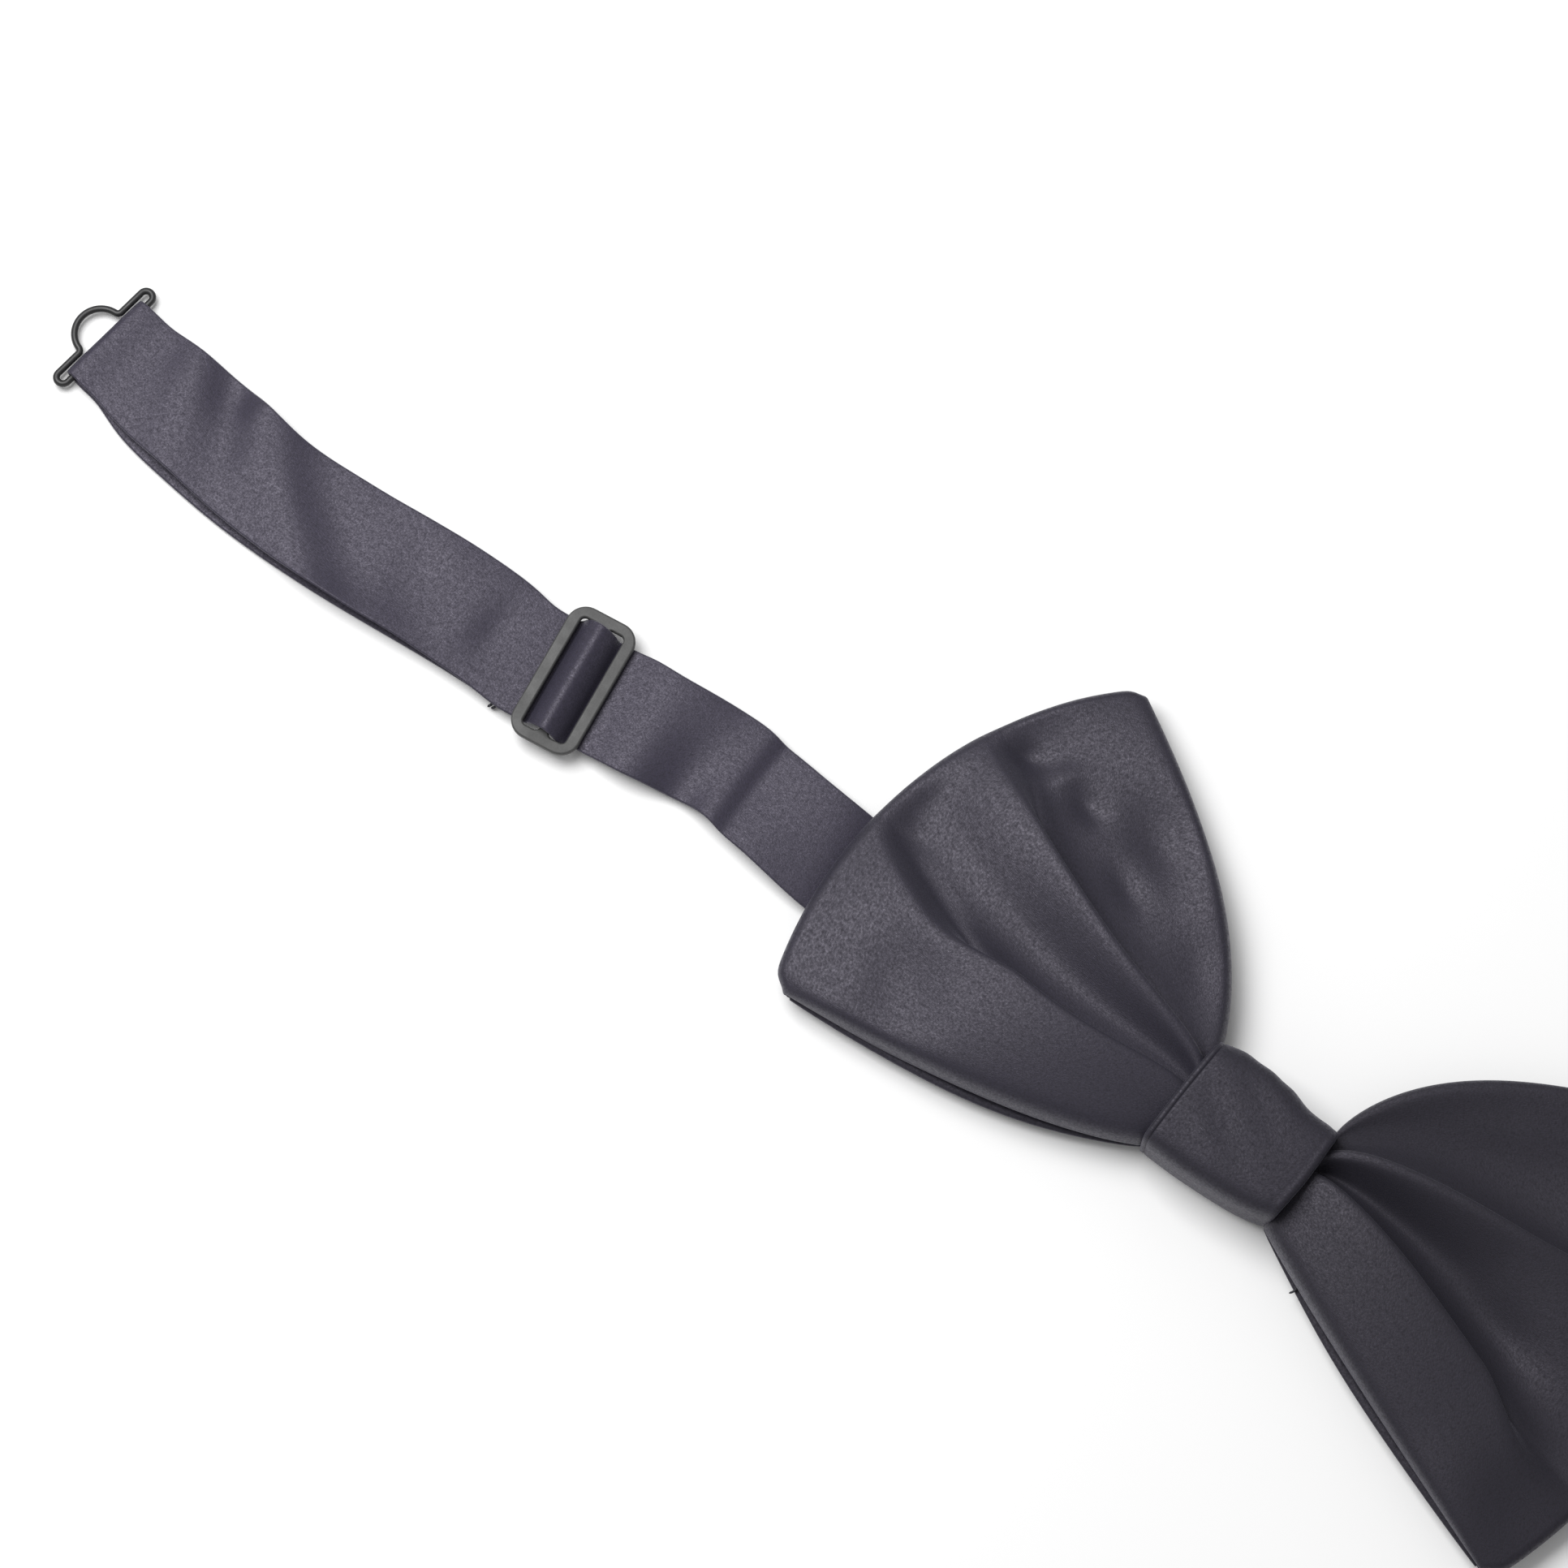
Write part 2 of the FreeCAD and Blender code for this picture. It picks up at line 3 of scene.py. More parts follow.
import bmesh
import bpy
import numpy as np
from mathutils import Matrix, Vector


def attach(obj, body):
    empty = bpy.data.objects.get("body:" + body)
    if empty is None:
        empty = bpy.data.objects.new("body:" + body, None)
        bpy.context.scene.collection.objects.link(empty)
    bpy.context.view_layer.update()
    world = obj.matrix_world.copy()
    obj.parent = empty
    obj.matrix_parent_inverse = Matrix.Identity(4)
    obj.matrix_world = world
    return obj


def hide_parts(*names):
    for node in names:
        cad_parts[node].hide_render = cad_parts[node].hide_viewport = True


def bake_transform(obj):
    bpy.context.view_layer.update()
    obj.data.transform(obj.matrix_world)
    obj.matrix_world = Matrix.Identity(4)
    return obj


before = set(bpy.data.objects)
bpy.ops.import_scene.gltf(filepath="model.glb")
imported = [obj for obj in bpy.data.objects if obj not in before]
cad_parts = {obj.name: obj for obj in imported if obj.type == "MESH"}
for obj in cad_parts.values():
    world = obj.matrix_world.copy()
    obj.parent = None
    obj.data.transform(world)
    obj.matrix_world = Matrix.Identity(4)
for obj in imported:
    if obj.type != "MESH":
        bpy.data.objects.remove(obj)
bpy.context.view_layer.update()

# Shapes below are worked out in millimetres in the frame's axes, and turned into metres as meshes are made.
MM = 0.001


# ---------------------------------------------------------------- small tools

def spline(control, per):
    """A smooth curve that starts and ends on the first and last of the control rows."""
    c = np.asarray(control, float)
    c = np.vstack([2 * c[0] - c[1], c, 2 * c[-1] - c[-2]])
    t = np.linspace(0, 1, per, endpoint=False)[:, None]
    weights = ((1 - t) ** 3 / 6, (3 * t ** 3 - 6 * t ** 2 + 4) / 6,
               (-3 * t ** 3 + 3 * t ** 2 + 3 * t + 1) / 6, t ** 3 / 6)
    spans = [sum(w * c[i + k] for k, w in enumerate(weights)) for i in range(len(c) - 3)]
    return np.vstack(spans + [c[-2][None, :]])


def curve_of(*pairs):
    """A smooth function through (place, value) pairs."""
    line = spline(pairs, 12)
    return lambda x: np.interp(x, line[:, 0], line[:, 1])


def bell(x, middle, width):
    return np.exp(-((x - middle) / width) ** 2)


def placed(pos, turn, x, y=0.0):
    """Where a point of a turned and moved piece ends up."""
    a = math.radians(turn)
    return pos[0] + x * math.cos(a) - y * math.sin(a), pos[1] + x * math.sin(a) + y * math.cos(a)


def lengths(points, axis):
    """How far along a grid each row or column lies, from 0 at the first."""
    step = np.linalg.norm(np.diff(points, axis=axis), axis=2).mean(axis=1 - axis)
    return np.concatenate([[0], np.cumsum(step)])


def solid_sheet(name, grid, thickness, material, rim=0.6):
    """A closed sheet of even thickness over a grid of points, with a rounded rim and a UV layer in metres."""
    n, m = grid.shape[:2]
    normal = np.cross(np.gradient(grid, axis=0), np.gradient(grid, axis=1))
    normal /= np.maximum(np.linalg.norm(normal, axis=2, keepdims=True), 1e-9)
    half = np.broadcast_to(np.asarray(thickness, float), (n, m))[:, :, None] / 2
    around = [(0, j) for j in range(m)] + [(i, m - 1) for i in range(1, n)]
    around += [(n - 1, j) for j in range(m - 2, -1, -1)] + [(i, 0) for i in range(n - 2, 0, -1)]
    edge = []
    for i, j in around:
        out = np.zeros(3)
        if i in (0, n - 1):
            out += grid[i, j] - grid[1 if i == 0 else n - 2, j]
        if j in (0, m - 1):
            side = grid[i, j] - grid[i, 1 if j == 0 else m - 2]
            out = out / max(np.linalg.norm(out), 1e-9) + side / max(np.linalg.norm(side), 1e-9)
        out /= max(np.linalg.norm(out), 1e-9)
        edge.append(grid[i, j] + out * half[i, j] * rim)
    points = np.vstack([(grid + normal * half).reshape(-1, 3), (grid - normal * half).reshape(-1, 3), edge])
    along, across = lengths(grid, 0), lengths(grid, 1)
    flat = np.stack(np.meshgrid(along, across, indexing="ij"), axis=2).reshape(-1, 2)
    rows = [i * m + j for i, j in around]
    uv = np.vstack([flat, flat, flat[rows]]) * MM
    i, j = np.meshgrid(np.arange(n - 1), np.arange(m - 1), indexing="ij")
    a = (i * m + j).ravel()
    top = np.stack([a, a + m, a + m + 1, a + 1], axis=1)
    faces = np.vstack([top, top[:, ::-1] + n * m]).tolist()
    count = len(around)
    for k in range(count):
        p, q = rows[k], rows[(k + 1) % count]
        r, s = 2 * n * m + k, 2 * n * m + (k + 1) % count
        faces += [(p, q, s, r), (r, s, q + n * m, p + n * m)]
    return mesh_piece(name, points, faces, material, uv)


def mesh_piece(name, points, faces, material, uv=None):
    mesh = bpy.data.meshes.new(name)
    mesh.from_pydata((np.asarray(points, float) * MM).tolist(), [], faces)
    if uv is not None:
        layer = mesh.uv_layers.new(name="cloth")
        corner = np.zeros(len(mesh.loops), np.int32)
        mesh.loops.foreach_get("vertex_index", corner)
        layer.data.foreach_set("uv", np.asarray(uv, np.float32)[corner].ravel())
    made = bmesh.new()
    made.from_mesh(mesh)
    bmesh.ops.recalc_face_normals(made, faces=made.faces[:])
    made.to_mesh(mesh)
    made.free()
    mesh.polygons.foreach_set("use_smooth", [True] * len(mesh.polygons))
    mesh.materials.append(material)
    piece = bpy.data.objects.new(name, mesh)
    bpy.context.scene.collection.objects.link(piece)
    return piece


def threads(name, lines, radius, material):
    """Short lengths of sewing thread, each along its own control points, in one mesh."""
    sides, per = 8, 4
    points, faces = [], []
    for line in lines:
        path = spline(line, per)
        tangent = np.gradient(path, axis=0)
        tangent /= np.linalg.norm(tangent, axis=1, keepdims=True)
        slanted = np.array([0.31, 0.2, 0.93])        # no stitch runs this way
        side = np.cross(tangent, slanted)
        side /= np.linalg.norm(side, axis=1, keepdims=True)
        up = np.cross(side, tangent)
        count = len(path)
        taper = np.sqrt(np.clip(1 - np.linspace(-1, 1, count) ** 8, 0.12, 1)) * radius
        start = len(points)
        for k in range(count):
            for j in range(sides):
                a = 2 * math.pi * j / sides
                points.append(path[k] + taper[k] * (side[k] * math.cos(a) + up[k] * math.sin(a)))
        for k in range(count - 1):
            for j in range(sides):
                p, q = start + k * sides + j, start + k * sides + (j + 1) % sides
                faces.append((p, q, q + sides, p + sides))
        faces.append(tuple(start + j for j in range(sides))[::-1])
        faces.append(tuple(start + (count - 1) * sides + j for j in range(sides)))
    return mesh_piece(name, points, faces, material)


# ------------------------------------------------------------------ materials

def new_material(name, roughness, specular=0.5):
    material = bpy.data.materials.new(name)
    material.use_nodes = True
    tree = material.node_tree
    shader = tree.nodes["Principled BSDF"]
    shader.inputs["Roughness"].default_value = roughness
    shader.inputs["Specular IOR Level"].default_value = specular
    return material, tree, shader


def noise(tree, source, scale, stretch=(1, 1, 1), detail=2.0):
    mapping = tree.nodes.new("ShaderNodeMapping")
    mapping.inputs["Scale"].default_value = stretch
    texture = tree.nodes.new("ShaderNodeTexNoise")
    texture.inputs["Scale"].default_value = scale
    texture.inputs["Detail"].default_value = detail
    tree.links.new(source, mapping.inputs["Vector"])
    tree.links.new(mapping.outputs["Vector"], texture.inputs["Vector"])
    return texture.outputs["Fac"]


def ramp(tree, source, low, high, start=0.3, end=0.7):
    node = tree.nodes.new("ShaderNodeValToRGB")
    node.color_ramp.elements[0].position = start
    node.color_ramp.elements[1].position = end
    node.color_ramp.elements[0].color = (*low, 1)
    node.color_ramp.elements[1].color = (*high, 1)
    tree.links.new(source, node.inputs["Fac"])
    return node.outputs["Color"]


def blend_colours(tree, mode, factor, a, b):
    node = tree.nodes.new("ShaderNodeMix")
    node.data_type = "RGBA"
    node.blend_type = mode
    node.inputs["Factor"].default_value = factor
    tree.links.new(a, node.inputs["A"])
    tree.links.new(b, node.inputs["B"])
    return node.outputs["Result"]


def bumps(tree, shader, heights):
    """Stacked bumps: (height socket, strength, distance in metres)."""
    last = None
    for height, strength, distance in heights:
        node = tree.nodes.new("ShaderNodeBump")
        node.inputs["Strength"].default_value = strength
        node.inputs["Distance"].default_value = distance
        tree.links.new(height, node.inputs["Height"])
        if last:
            tree.links.new(last, node.inputs["Normal"])
        last = node.outputs["Normal"]
    tree.links.new(last, shader.inputs["Normal"])


def times(colour, factor):
    return tuple(c * factor for c in colour)


def grey(level):
    return (level,) * 3


def satin(name, colour, roughness, grain_scale=3000, contrast=0.33):
    """Satin weave: long floats of thread one way, fine grain, soft sheen, mottled colour and gloss."""
    material, tree, shader = new_material(name, roughness)
    uv = tree.nodes.new("ShaderNodeUVMap")
    uv.uv_map = "cloth"
    floats = noise(tree, uv.outputs["UV"], 1.0, (2600, 9500, 1))
    grain = noise(tree, uv.outputs["UV"], grain_scale, detail=3.0)
    cloud = noise(tree, uv.outputs["UV"], 1250)
    thread = ramp(tree, grain, times(colour, 1 - contrast), times(colour, 1 + contrast), 0.32, 0.68)
    mottle = ramp(tree, cloud, (0.80, 0.80, 0.82), (1.10, 1.10, 1.09), 0.34, 0.66)
    tree.links.new(blend_colours(tree, "MULTIPLY", 1.0, thread, mottle), shader.inputs["Base Color"])
    fine = ramp(tree, grain, grey(roughness + 0.24), grey(roughness - 0.20), 0.34, 0.66)
    broad = ramp(tree, cloud, grey(roughness + 0.13), grey(roughness - 0.10), 0.34, 0.66)
    tree.links.new(blend_colours(tree, "MIX", 0.5, fine, broad), shader.inputs["Roughness"])
    bumps(tree, shader, [(floats, 0.45, 0.0001), (grain, 0.22, 0.0001)])
    shader.inputs["Specular Tint"].default_value = (0.93, 0.88, 1.0, 1)
    shader.inputs["Sheen Weight"].default_value = 0.12
    shader.inputs["Sheen Roughness"].default_value = 0.45
    shader.inputs["Sheen Tint"].default_value = (0.8, 0.78, 0.95, 1)
    return material


def plain_weave(name, colour):
    """The stiff woven interlining: a fine criss-cross of threads."""
    material, tree, shader = new_material(name, roughness=0.85, specular=0.2)
    uv = tree.nodes.new("ShaderNodeUVMap")
    uv.uv_map = "cloth"
    warp = noise(tree, uv.outputs["UV"], 1.0, (500, 6000, 1))
    weft = noise(tree, uv.outputs["UV"], 1.0, (6000, 500, 1))
    lengthways = ramp(tree, warp, times(colour, 0.7), colour)
    crossways = ramp(tree, weft, grey(0.75), grey(1.0))
    both = blend_colours(tree, "MULTIPLY", 0.8, lengthways, crossways)
    tree.links.new(both, shader.inputs["Base Color"])
    bumps(tree, shader, [(warp, 0.5, 0.0001), (weft, 0.5, 0.0001)])
    return material


def sewing_thread(name, colour):
    material, tree, shader = new_material(name, roughness=0.6, specular=0.3)
    place = tree.nodes.new("ShaderNodeTexCoord")
    twist = noise(tree, place.outputs["Object"], 6000, (1, 1, 2))
    tree.links.new(ramp(tree, twist, times(colour, 0.6), times(colour, 1.4)), shader.inputs["Base Color"])
    bumps(tree, shader, [(twist, 0.5, 0.00005)])
    return material


def coated_metal(name, colour, roughness, wear):
    """Painted steel: a fine stipple, uneven gloss and slightly paler patches."""
    material, tree, shader = new_material(name, roughness)
    place = tree.nodes.new("ShaderNodeTexCoord")
    stipple = noise(tree, place.outputs["Object"], 3800, detail=3.0)
    patches = noise(tree, place.outputs["Object"], 420, detail=4.0)
    base = ramp(tree, stipple, times(colour, 0.86), times(colour, 1.12))
    worn = ramp(tree, patches, grey(1.0), grey(wear), 0.45, 0.75)
    tree.links.new(blend_colours(tree, "MULTIPLY", 1.0, base, worn), shader.inputs["Base Color"])
    gloss = ramp(tree, patches, grey(roughness - 0.06), grey(roughness + 0.1))
    tree.links.new(gloss, shader.inputs["Roughness"])
    bumps(tree, shader, [(stipple, 0.15, 0.00005)])
    return material


WING_SATIN = satin("satin_bow", (0.0168, 0.0155, 0.0245), roughness=0.50)
# The far wing's satin is the near wing's cloth with a darker colour: painted shade, in place of the light
# falling off on that side
FAR_WING_SATIN_PAINTED_SHADE = satin("satin_bow_far_painted_shade", (0.0102, 0.0095, 0.0150), roughness=0.55)
# The knot's satin is the same cloth with a darker colour: painted shade, standing in for the weaker sheen the
# crosswise threads catch
KNOT_SATIN_PAINTED_SHADE = satin("satin_knot_painted_shade", (0.0112, 0.0105, 0.0168), roughness=0.56)
# The strap's satin is the same cloth with a lighter colour: painted sheen, standing in for the brighter gloss
# the flat strap catches
BAND_SATIN_PAINTED_SHEEN = satin("satin_band_painted_sheen", (0.0248, 0.0221, 0.0369), roughness=0.48, grain_scale=3600, contrast=0.32)
LINING = plain_weave("interlining_weave", (0.5, 0.5, 0.52))
THREAD = sewing_thread("dark_thread", (0.03, 0.03, 0.036))
SLIDE_METAL = coated_metal("slide_metal", grey(0.049), roughness=0.5, wear=1.15)
WIRE_METAL = coated_metal("wire_metal", (0.011, 0.011, 0.012), roughness=0.42, wear=1.2)


# --------------------------------------------------------------------- wings

KNOT_ROOT_X = 10.0        # a wing's cloth starts here, just inside the knot's edge
ROOT_HIGH = 8.8           # its upper corner there
PLY = 0.45                # cloth thickness

# root_low is the lower corner beside the knot. The tips are the ends of the outer fold, which bulges by sag.
# The long edges bulge by low_bow and high_bow, nearer the knot the smaller bow_power is. The creases are
# places across the wing, 0 at the lower edge and 1 at the upper. crest is the pleats' height, valley the drop
# beside them, and each pleat opens out over the stretch in lower_opens or upper_opens.
WINGS = {
    "left": dict(
        side=-1, root_low=-7.4, low_tip=(63.0, -22.1), high_tip=(49.5, 43.2),
        sag=9.9, low_bow=2.7, high_bow=4.7, bow_power=0.75,
        lower_crease=curve_of((0, .52), (.15, .385), (.32, .325), (.5, .318), (.68, .345), (.85, .39),
                              (1, .43)),
        upper_crease=curve_of((0, .75), (.15, .645), (.35, .595), (.6, .613), (.8, .636), (1, .655)),
        crest=curve_of((0, 9.7), (.12, 10.8), (.3, 11.8), (.5, 11.6), (.7, 10.3), (.86, 8.6), (1, 5.8)),
        valley=curve_of((0, .4), (.2, 1.5), (.45, 2.7), (.7, 3.2), (.86, 2.9), (.94, 1.9), (1, .3)),
        lower_opens=(0.46, 0.76), upper_opens=(0.6, 0.92),
    ),
    "right": dict(
        side=1, root_low=-6.4, low_tip=(62.5, -25.5), high_tip=(50.5, 44.6),
        sag=9.5, low_bow=0.7, high_bow=7.4, bow_power=0.69,
        lower_crease=curve_of((0, .53), (.12, .407), (.3, .329), (.5, .272), (.75, .233), (1, .238)),
        upper_crease=curve_of((0, .713), (.15, .64), (.3, .602), (.55, .578), (.8, .595), (1, .619)),
        crest=curve_of((0, 9.7), (.1, 10.9), (.25, 11.2), (.45, 10.4), (.7, 8.6), (.86, 7.0), (1, 5.0)),
        valley=curve_of((0, 1.2), (.12, 2.8), (.3, 3.8), (.5, 4.0), (.7, 3.6), (.88, 2.4), (1, .7)),
        lower_opens=(0.6, 0.9), upper_opens=(0.6, 0.92),
    ),
}

# Along a wing: the long edges' height, how deep a pleat folds back, and the height from one layer to the next
edge_height = curve_of((0, 4.2), (.3, 4.6), (.7, 4.4), (1, 4.0))
pleat_depth = curve_of((0, 11.0), (.2, 8.0), (.4, 4.6), (.6, 2.0), (.8, .5), (1, 0.15))
layer_gap = curve_of((0, .72), (.2, .90), (.45, .95), (.65, .55), (.82, .2), (1, .05))


def wing_plan(wing, s, w):
    """Plan position: s is 0 at the knot and 1 at the outer fold, w is 0 at the lower edge, 1 at the upper."""
    root_y = wing["root_low"] * (1 - w) + ROOT_HIGH * w
    root = np.stack([np.full_like(w, KNOT_ROOT_X), root_y], axis=-1)
    low, high = np.array(wing["low_tip"]), np.array(wing["high_tip"])
    chord = np.linalg.norm(high - low)
    along = (high - low) / chord
    out = np.array([along[1], -along[0]])
    radius = (chord ** 2 / 4 + wing["sag"] ** 2) / (2 * wing["sag"])
    turn = 2 * math.asin(chord / 2 / radius) * (w - 0.5)
    centre = (low + high) / 2 - out * (radius - wing["sag"])
    rim = centre + along * (radius * np.sin(turn))[..., None] + out * (radius * np.cos(turn))[..., None]
    ray = rim - root
    sideways = np.stack([-ray[..., 1], ray[..., 0]], axis=-1) / np.linalg.norm(ray, axis=-1, keepdims=True)
    bow = -wing["low_bow"] * (1 - w) + wing["high_bow"] * w
    shift = bow * np.sin(math.pi * np.clip(s, 0, 1) ** wing["bow_power"])
    # The cloth is drawn in by a millimetre or so where the outer fold meets the long edges
    trim = 1.5 * (np.exp(-(w / 0.022) ** 2) + 0.6 * np.exp(-((1 - w) / 0.02) ** 2)) * s ** 10
    along_ray = s - trim / np.linalg.norm(ray, axis=-1)
    return root + ray * along_ray[..., None] + sideways * shift[..., None]


def smooth_step(x, start, end):
    t = float(np.clip((x - start) / (end - start), 0, 1))
    return t * t * (3 - 2 * t)


def front_section(wing, s):
    """The front ply's cross-section at s, as (w, height) points: two knife pleats, the lower panel on top."""
    lower_edge, upper_edge = wing_plan(wing, s, np.array([0.0, 1.0]))
    mm = 1.0 / float(np.linalg.norm(upper_edge - lower_edge))
    g, v, h, e = layer_gap(s), wing["valley"](s), wing["crest"](s), edge_height(s)
    c1, c2 = wing["lower_crease"](s), wing["upper_crease"](s)
    d = min(pleat_depth(s) * mm, 0.72 * c1)
    rise = h - e
    open_1, open_2 = smooth_step(s, *wing["lower_opens"]), smooth_step(s, *wing["upper_opens"])

    edge = [(0.0, e), (0.1 * mm, e + 0.40 * rise), (1.1 * mm, e + 0.66 * rise)]
    low = edge + [(0.36 * c1 + 1.0 * mm, h - 0.18 * rise), (0.70 * c1, h - 0.06 * rise), (c1 - 0.8 * mm, h),
                  (c1 + 0.4 * mm, h - 0.08)]

    def under_low(w, down):
        return w, float(np.interp(w, [p[0] for p in low], [p[1] for p in low])) - down

    span = c2 - c1
    mid = [(c1 + min(1.1 * mm, 0.12 * span), h - 2 * g - 0.60 * v),
           (c1 + min(3.0 * mm, 0.26 * span), h - 2 * g - 0.9 * v),
           (c1 + min(6.0 * mm, 0.44 * span), h - 2 * g - v),
           (c1 + min(11 * mm, 0.70 * span), h - 1.1 * g - 0.42 * v),
           (c2 - 0.8 * mm, h - 0.25 * g), (c2 + 0.4 * mm, h - 0.3 * g - 0.08)]

    def under_mid(w, down):
        reach = [under_low(0.0, 2 * g), under_low(c1 - 0.75 * d, 2 * g), under_low(c1 - 0.3 * d, 2 * g)] + mid
        return w, float(np.interp(w, [p[0] for p in reach], [p[1] for p in reach])) - down

    rest = 1 - c2
    close = [(1 - 1.1 * mm, e + 0.48 * rise), (1 - 0.1 * mm, e + 0.30 * rise), (1.0, e)]
    high = [(c2 + min(1.1 * mm, 0.10 * rest), h - 2.2 * g - 0.60 * v),
            (c2 + min(3.4 * mm, 0.24 * rest), h - 2.2 * g - 0.92 * v - 0.02 * rise),
            (c2 + min(7.0 * mm, 0.40 * rest), h - 2.1 * g - v - 0.06 * rise),
            (c2 + min(12.5 * mm, 0.64 * rest), h - 1.5 * g - 0.78 * v - 0.20 * rise)] + close

    def turned(c, under, d):
        """The fold-back under a crease."""
        return [(c + 0.4 * mm, h - 0.85 * g), under(c - 0.35 * d, g), under(c - 0.85 * d, g),
                under(c - d - 0.2 * mm, 1.5 * g), under(c - 0.75 * d, 2 * g), under(c - 0.3 * d, 2 * g)]

    def opening(folded, plain, share):
        """Between the pleated and the opened run of cloth."""
        return [(w + (pw - w) * share, z + (pz - z) * share) for (w, z), (pw, pz) in zip(folded, plain)]

    # The same run of cloth once a pleat has opened: a rounded crest, a short drop, a valley and a slow rise
    plain_low = [(0.0, e), (0.1 * mm, e + 0.50 * rise), (1.1 * mm, e + 0.86 * rise),
                 (0.30 * c1 + 1.0 * mm, h - 0.10 * rise), (0.62 * c1, h - 0.05 * rise), (c1 - 6.0 * mm, h),
                 (c1 - 4.2 * mm, h - 0.03 * v)]
    plain_first = [(c1 + x * mm, h - y * v) for x, y in
                   ((-3.3, .16), (-2.6, .36), (-1.9, .60), (-1.2, .82), (-.5, .96), (.3, 1.03))]
    plain_mid = [(c1 + 1.5 * mm, h - 1.08 * v), (c1 + 3.6 * mm, h - 1.12 * v), (c1 + 6.6 * mm, h - 0.95 * v),
                 (c1 + 0.66 * span, h - 0.36 * v), (c2 - 1.4 * mm, h - 0.04 * v), (c2 + 0.2 * mm, h - 0.08)]
    plain_second = [(c2 + x * mm, h - y * v - 0.1) for x, y in
                    ((.8, .12), (1.4, .30), (2.0, .50), (2.6, .70), (3.2, .86), (3.9, .97))]
    plain_high = [(c2 + 5.0 * mm, h - 1.08 * v - 0.1), (c2 + 7.2 * mm, h - 1.10 * v - 0.05 * rise),
                  (c2 + 10.0 * mm, h - 1.0 * v - 0.12 * rise),
                  (c2 + 0.72 * rest, h - 0.55 * v - 0.26 * rise)] + close

    first, second = turned(c1, under_low, d), turned(c2, under_mid, min(d, 0.7 * span))
    return (opening(low, plain_low, open_1) + opening(first, plain_first, open_1)
            + opening(mid, plain_mid, (open_1 + open_2) / 2) + opening(second, plain_second, open_2)
            + opening(high, plain_high, open_2))


# Soft dents and rises that a pressed hand leaves: (s, w, reach along s, reach along w, height in mm)
DENTS = {
    "left": [(.90, .09, .06, .05, -.6), (.91, .715, .045, .035, -1.0), (.825, .76, .03, .045, .5),
             (.73, .765, .05, .035, -.9), (.50, .74, .07, .04, -.6), (.90, .425, .05, .03, -.5),
             (.95, .86, .10, .08, .3), (.5, .15, .2, .08, .3), (.985, .50, .03, .12, .3),
             (.71, .12, .13, .13, -2.0), (.58, .90, .14, .09, -1.6), (.24, .87, .10, .10, -.7)],
    "right": [(.6, .36, .14, .06, -.5), (.85, .75, .12, .08, -.6), (.9, .12, .1, .08, -.5),
              (.45, .85, .15, .06, .4), (.88, .5, .12, .06, .4)],
}


def front_ply(name, wing, dents, material):
    """The pleated front, which turns down and under at the outer fold."""
    rows = []
    steps = np.concatenate([np.linspace(0, 0.9, 62), np.linspace(0.9, 1, 11)[1:]])
    for s in steps:
        section = spline(front_section(wing, s), 8)
        w, z = section[:, 0], section[:, 1].copy()
        for ds, dw, rs, rw, height in dents:
            z += height * bell(s, ds, rs) * bell(w, dw, rw)
        rows.append(np.column_stack([wing_plan(wing, s, w), z]))
    last = rows[-1]
    out = last[:, :2] - rows[-3][:, :2]
    out /= np.linalg.norm(out, axis=1, keepdims=True)
    floor_z = 2.5
    start = math.radians(35)
    radius = np.maximum((last[:, 2] - floor_z) / (1 + math.cos(start)), 0.4)
    for angle in np.radians([52, 70, 90, 110, 130, 152, 176]):
        reach = radius * (math.sin(angle) - math.sin(start))
        drop = radius * (math.cos(start) - math.cos(angle))
        rows.append(np.column_stack([last[:, :2] + out * reach[:, None], last[:, 2] - drop]))
    # The turned-in edge lies flat underneath
    under = rows[-1]
    for inward in (1.5, 3.5):
        rows.append(np.column_stack([under[:, :2] - out * inward, np.full(len(last), floor_z)]))
    grid = np.array(rows)
    grid[:, :, 0] *= wing["side"]
    return solid_sheet(name, grid, PLY, material)


def smooth_ply(name, wing, reach, low, high, height, material, thickness):
    """An unpleated sheet of the wing, from the knot out to reach: height(wing, s, w) is its middle."""
    rows = []
    for s in np.linspace(0.0, reach, 48):
        w = np.linspace(low(s), high(s), 60)
        rows.append(np.column_stack([wing_plan(wing, s, w), height(wing, s, w)]))
    grid = np.array(rows)
    grid[:, :, 0] *= wing["side"]
    return solid_sheet(name, grid, thickness, material)


def lining_z(wing, s, w):
    """Arched under the pleats, from edge to edge."""
    top = wing["crest"](s) - 4.2 * layer_gap(s) - 1.15 * wing["valley"](s) - 2.0
    e = edge_height(s) - 0.9
    return e + np.maximum(top - e, 0.0) * np.sin(math.pi * np.clip(w, 0, 1)) ** 0.8


def back_z(wing, s, w):
    """Nearly flat, with faint waves."""
    waves = 0.16 * np.sin(9 * w + 5 * s) * s + 0.10 * np.sin(23 * w - 4 * s) * (1 - s)
    return 2.75 + waves * 0.5 - 0.25 * s


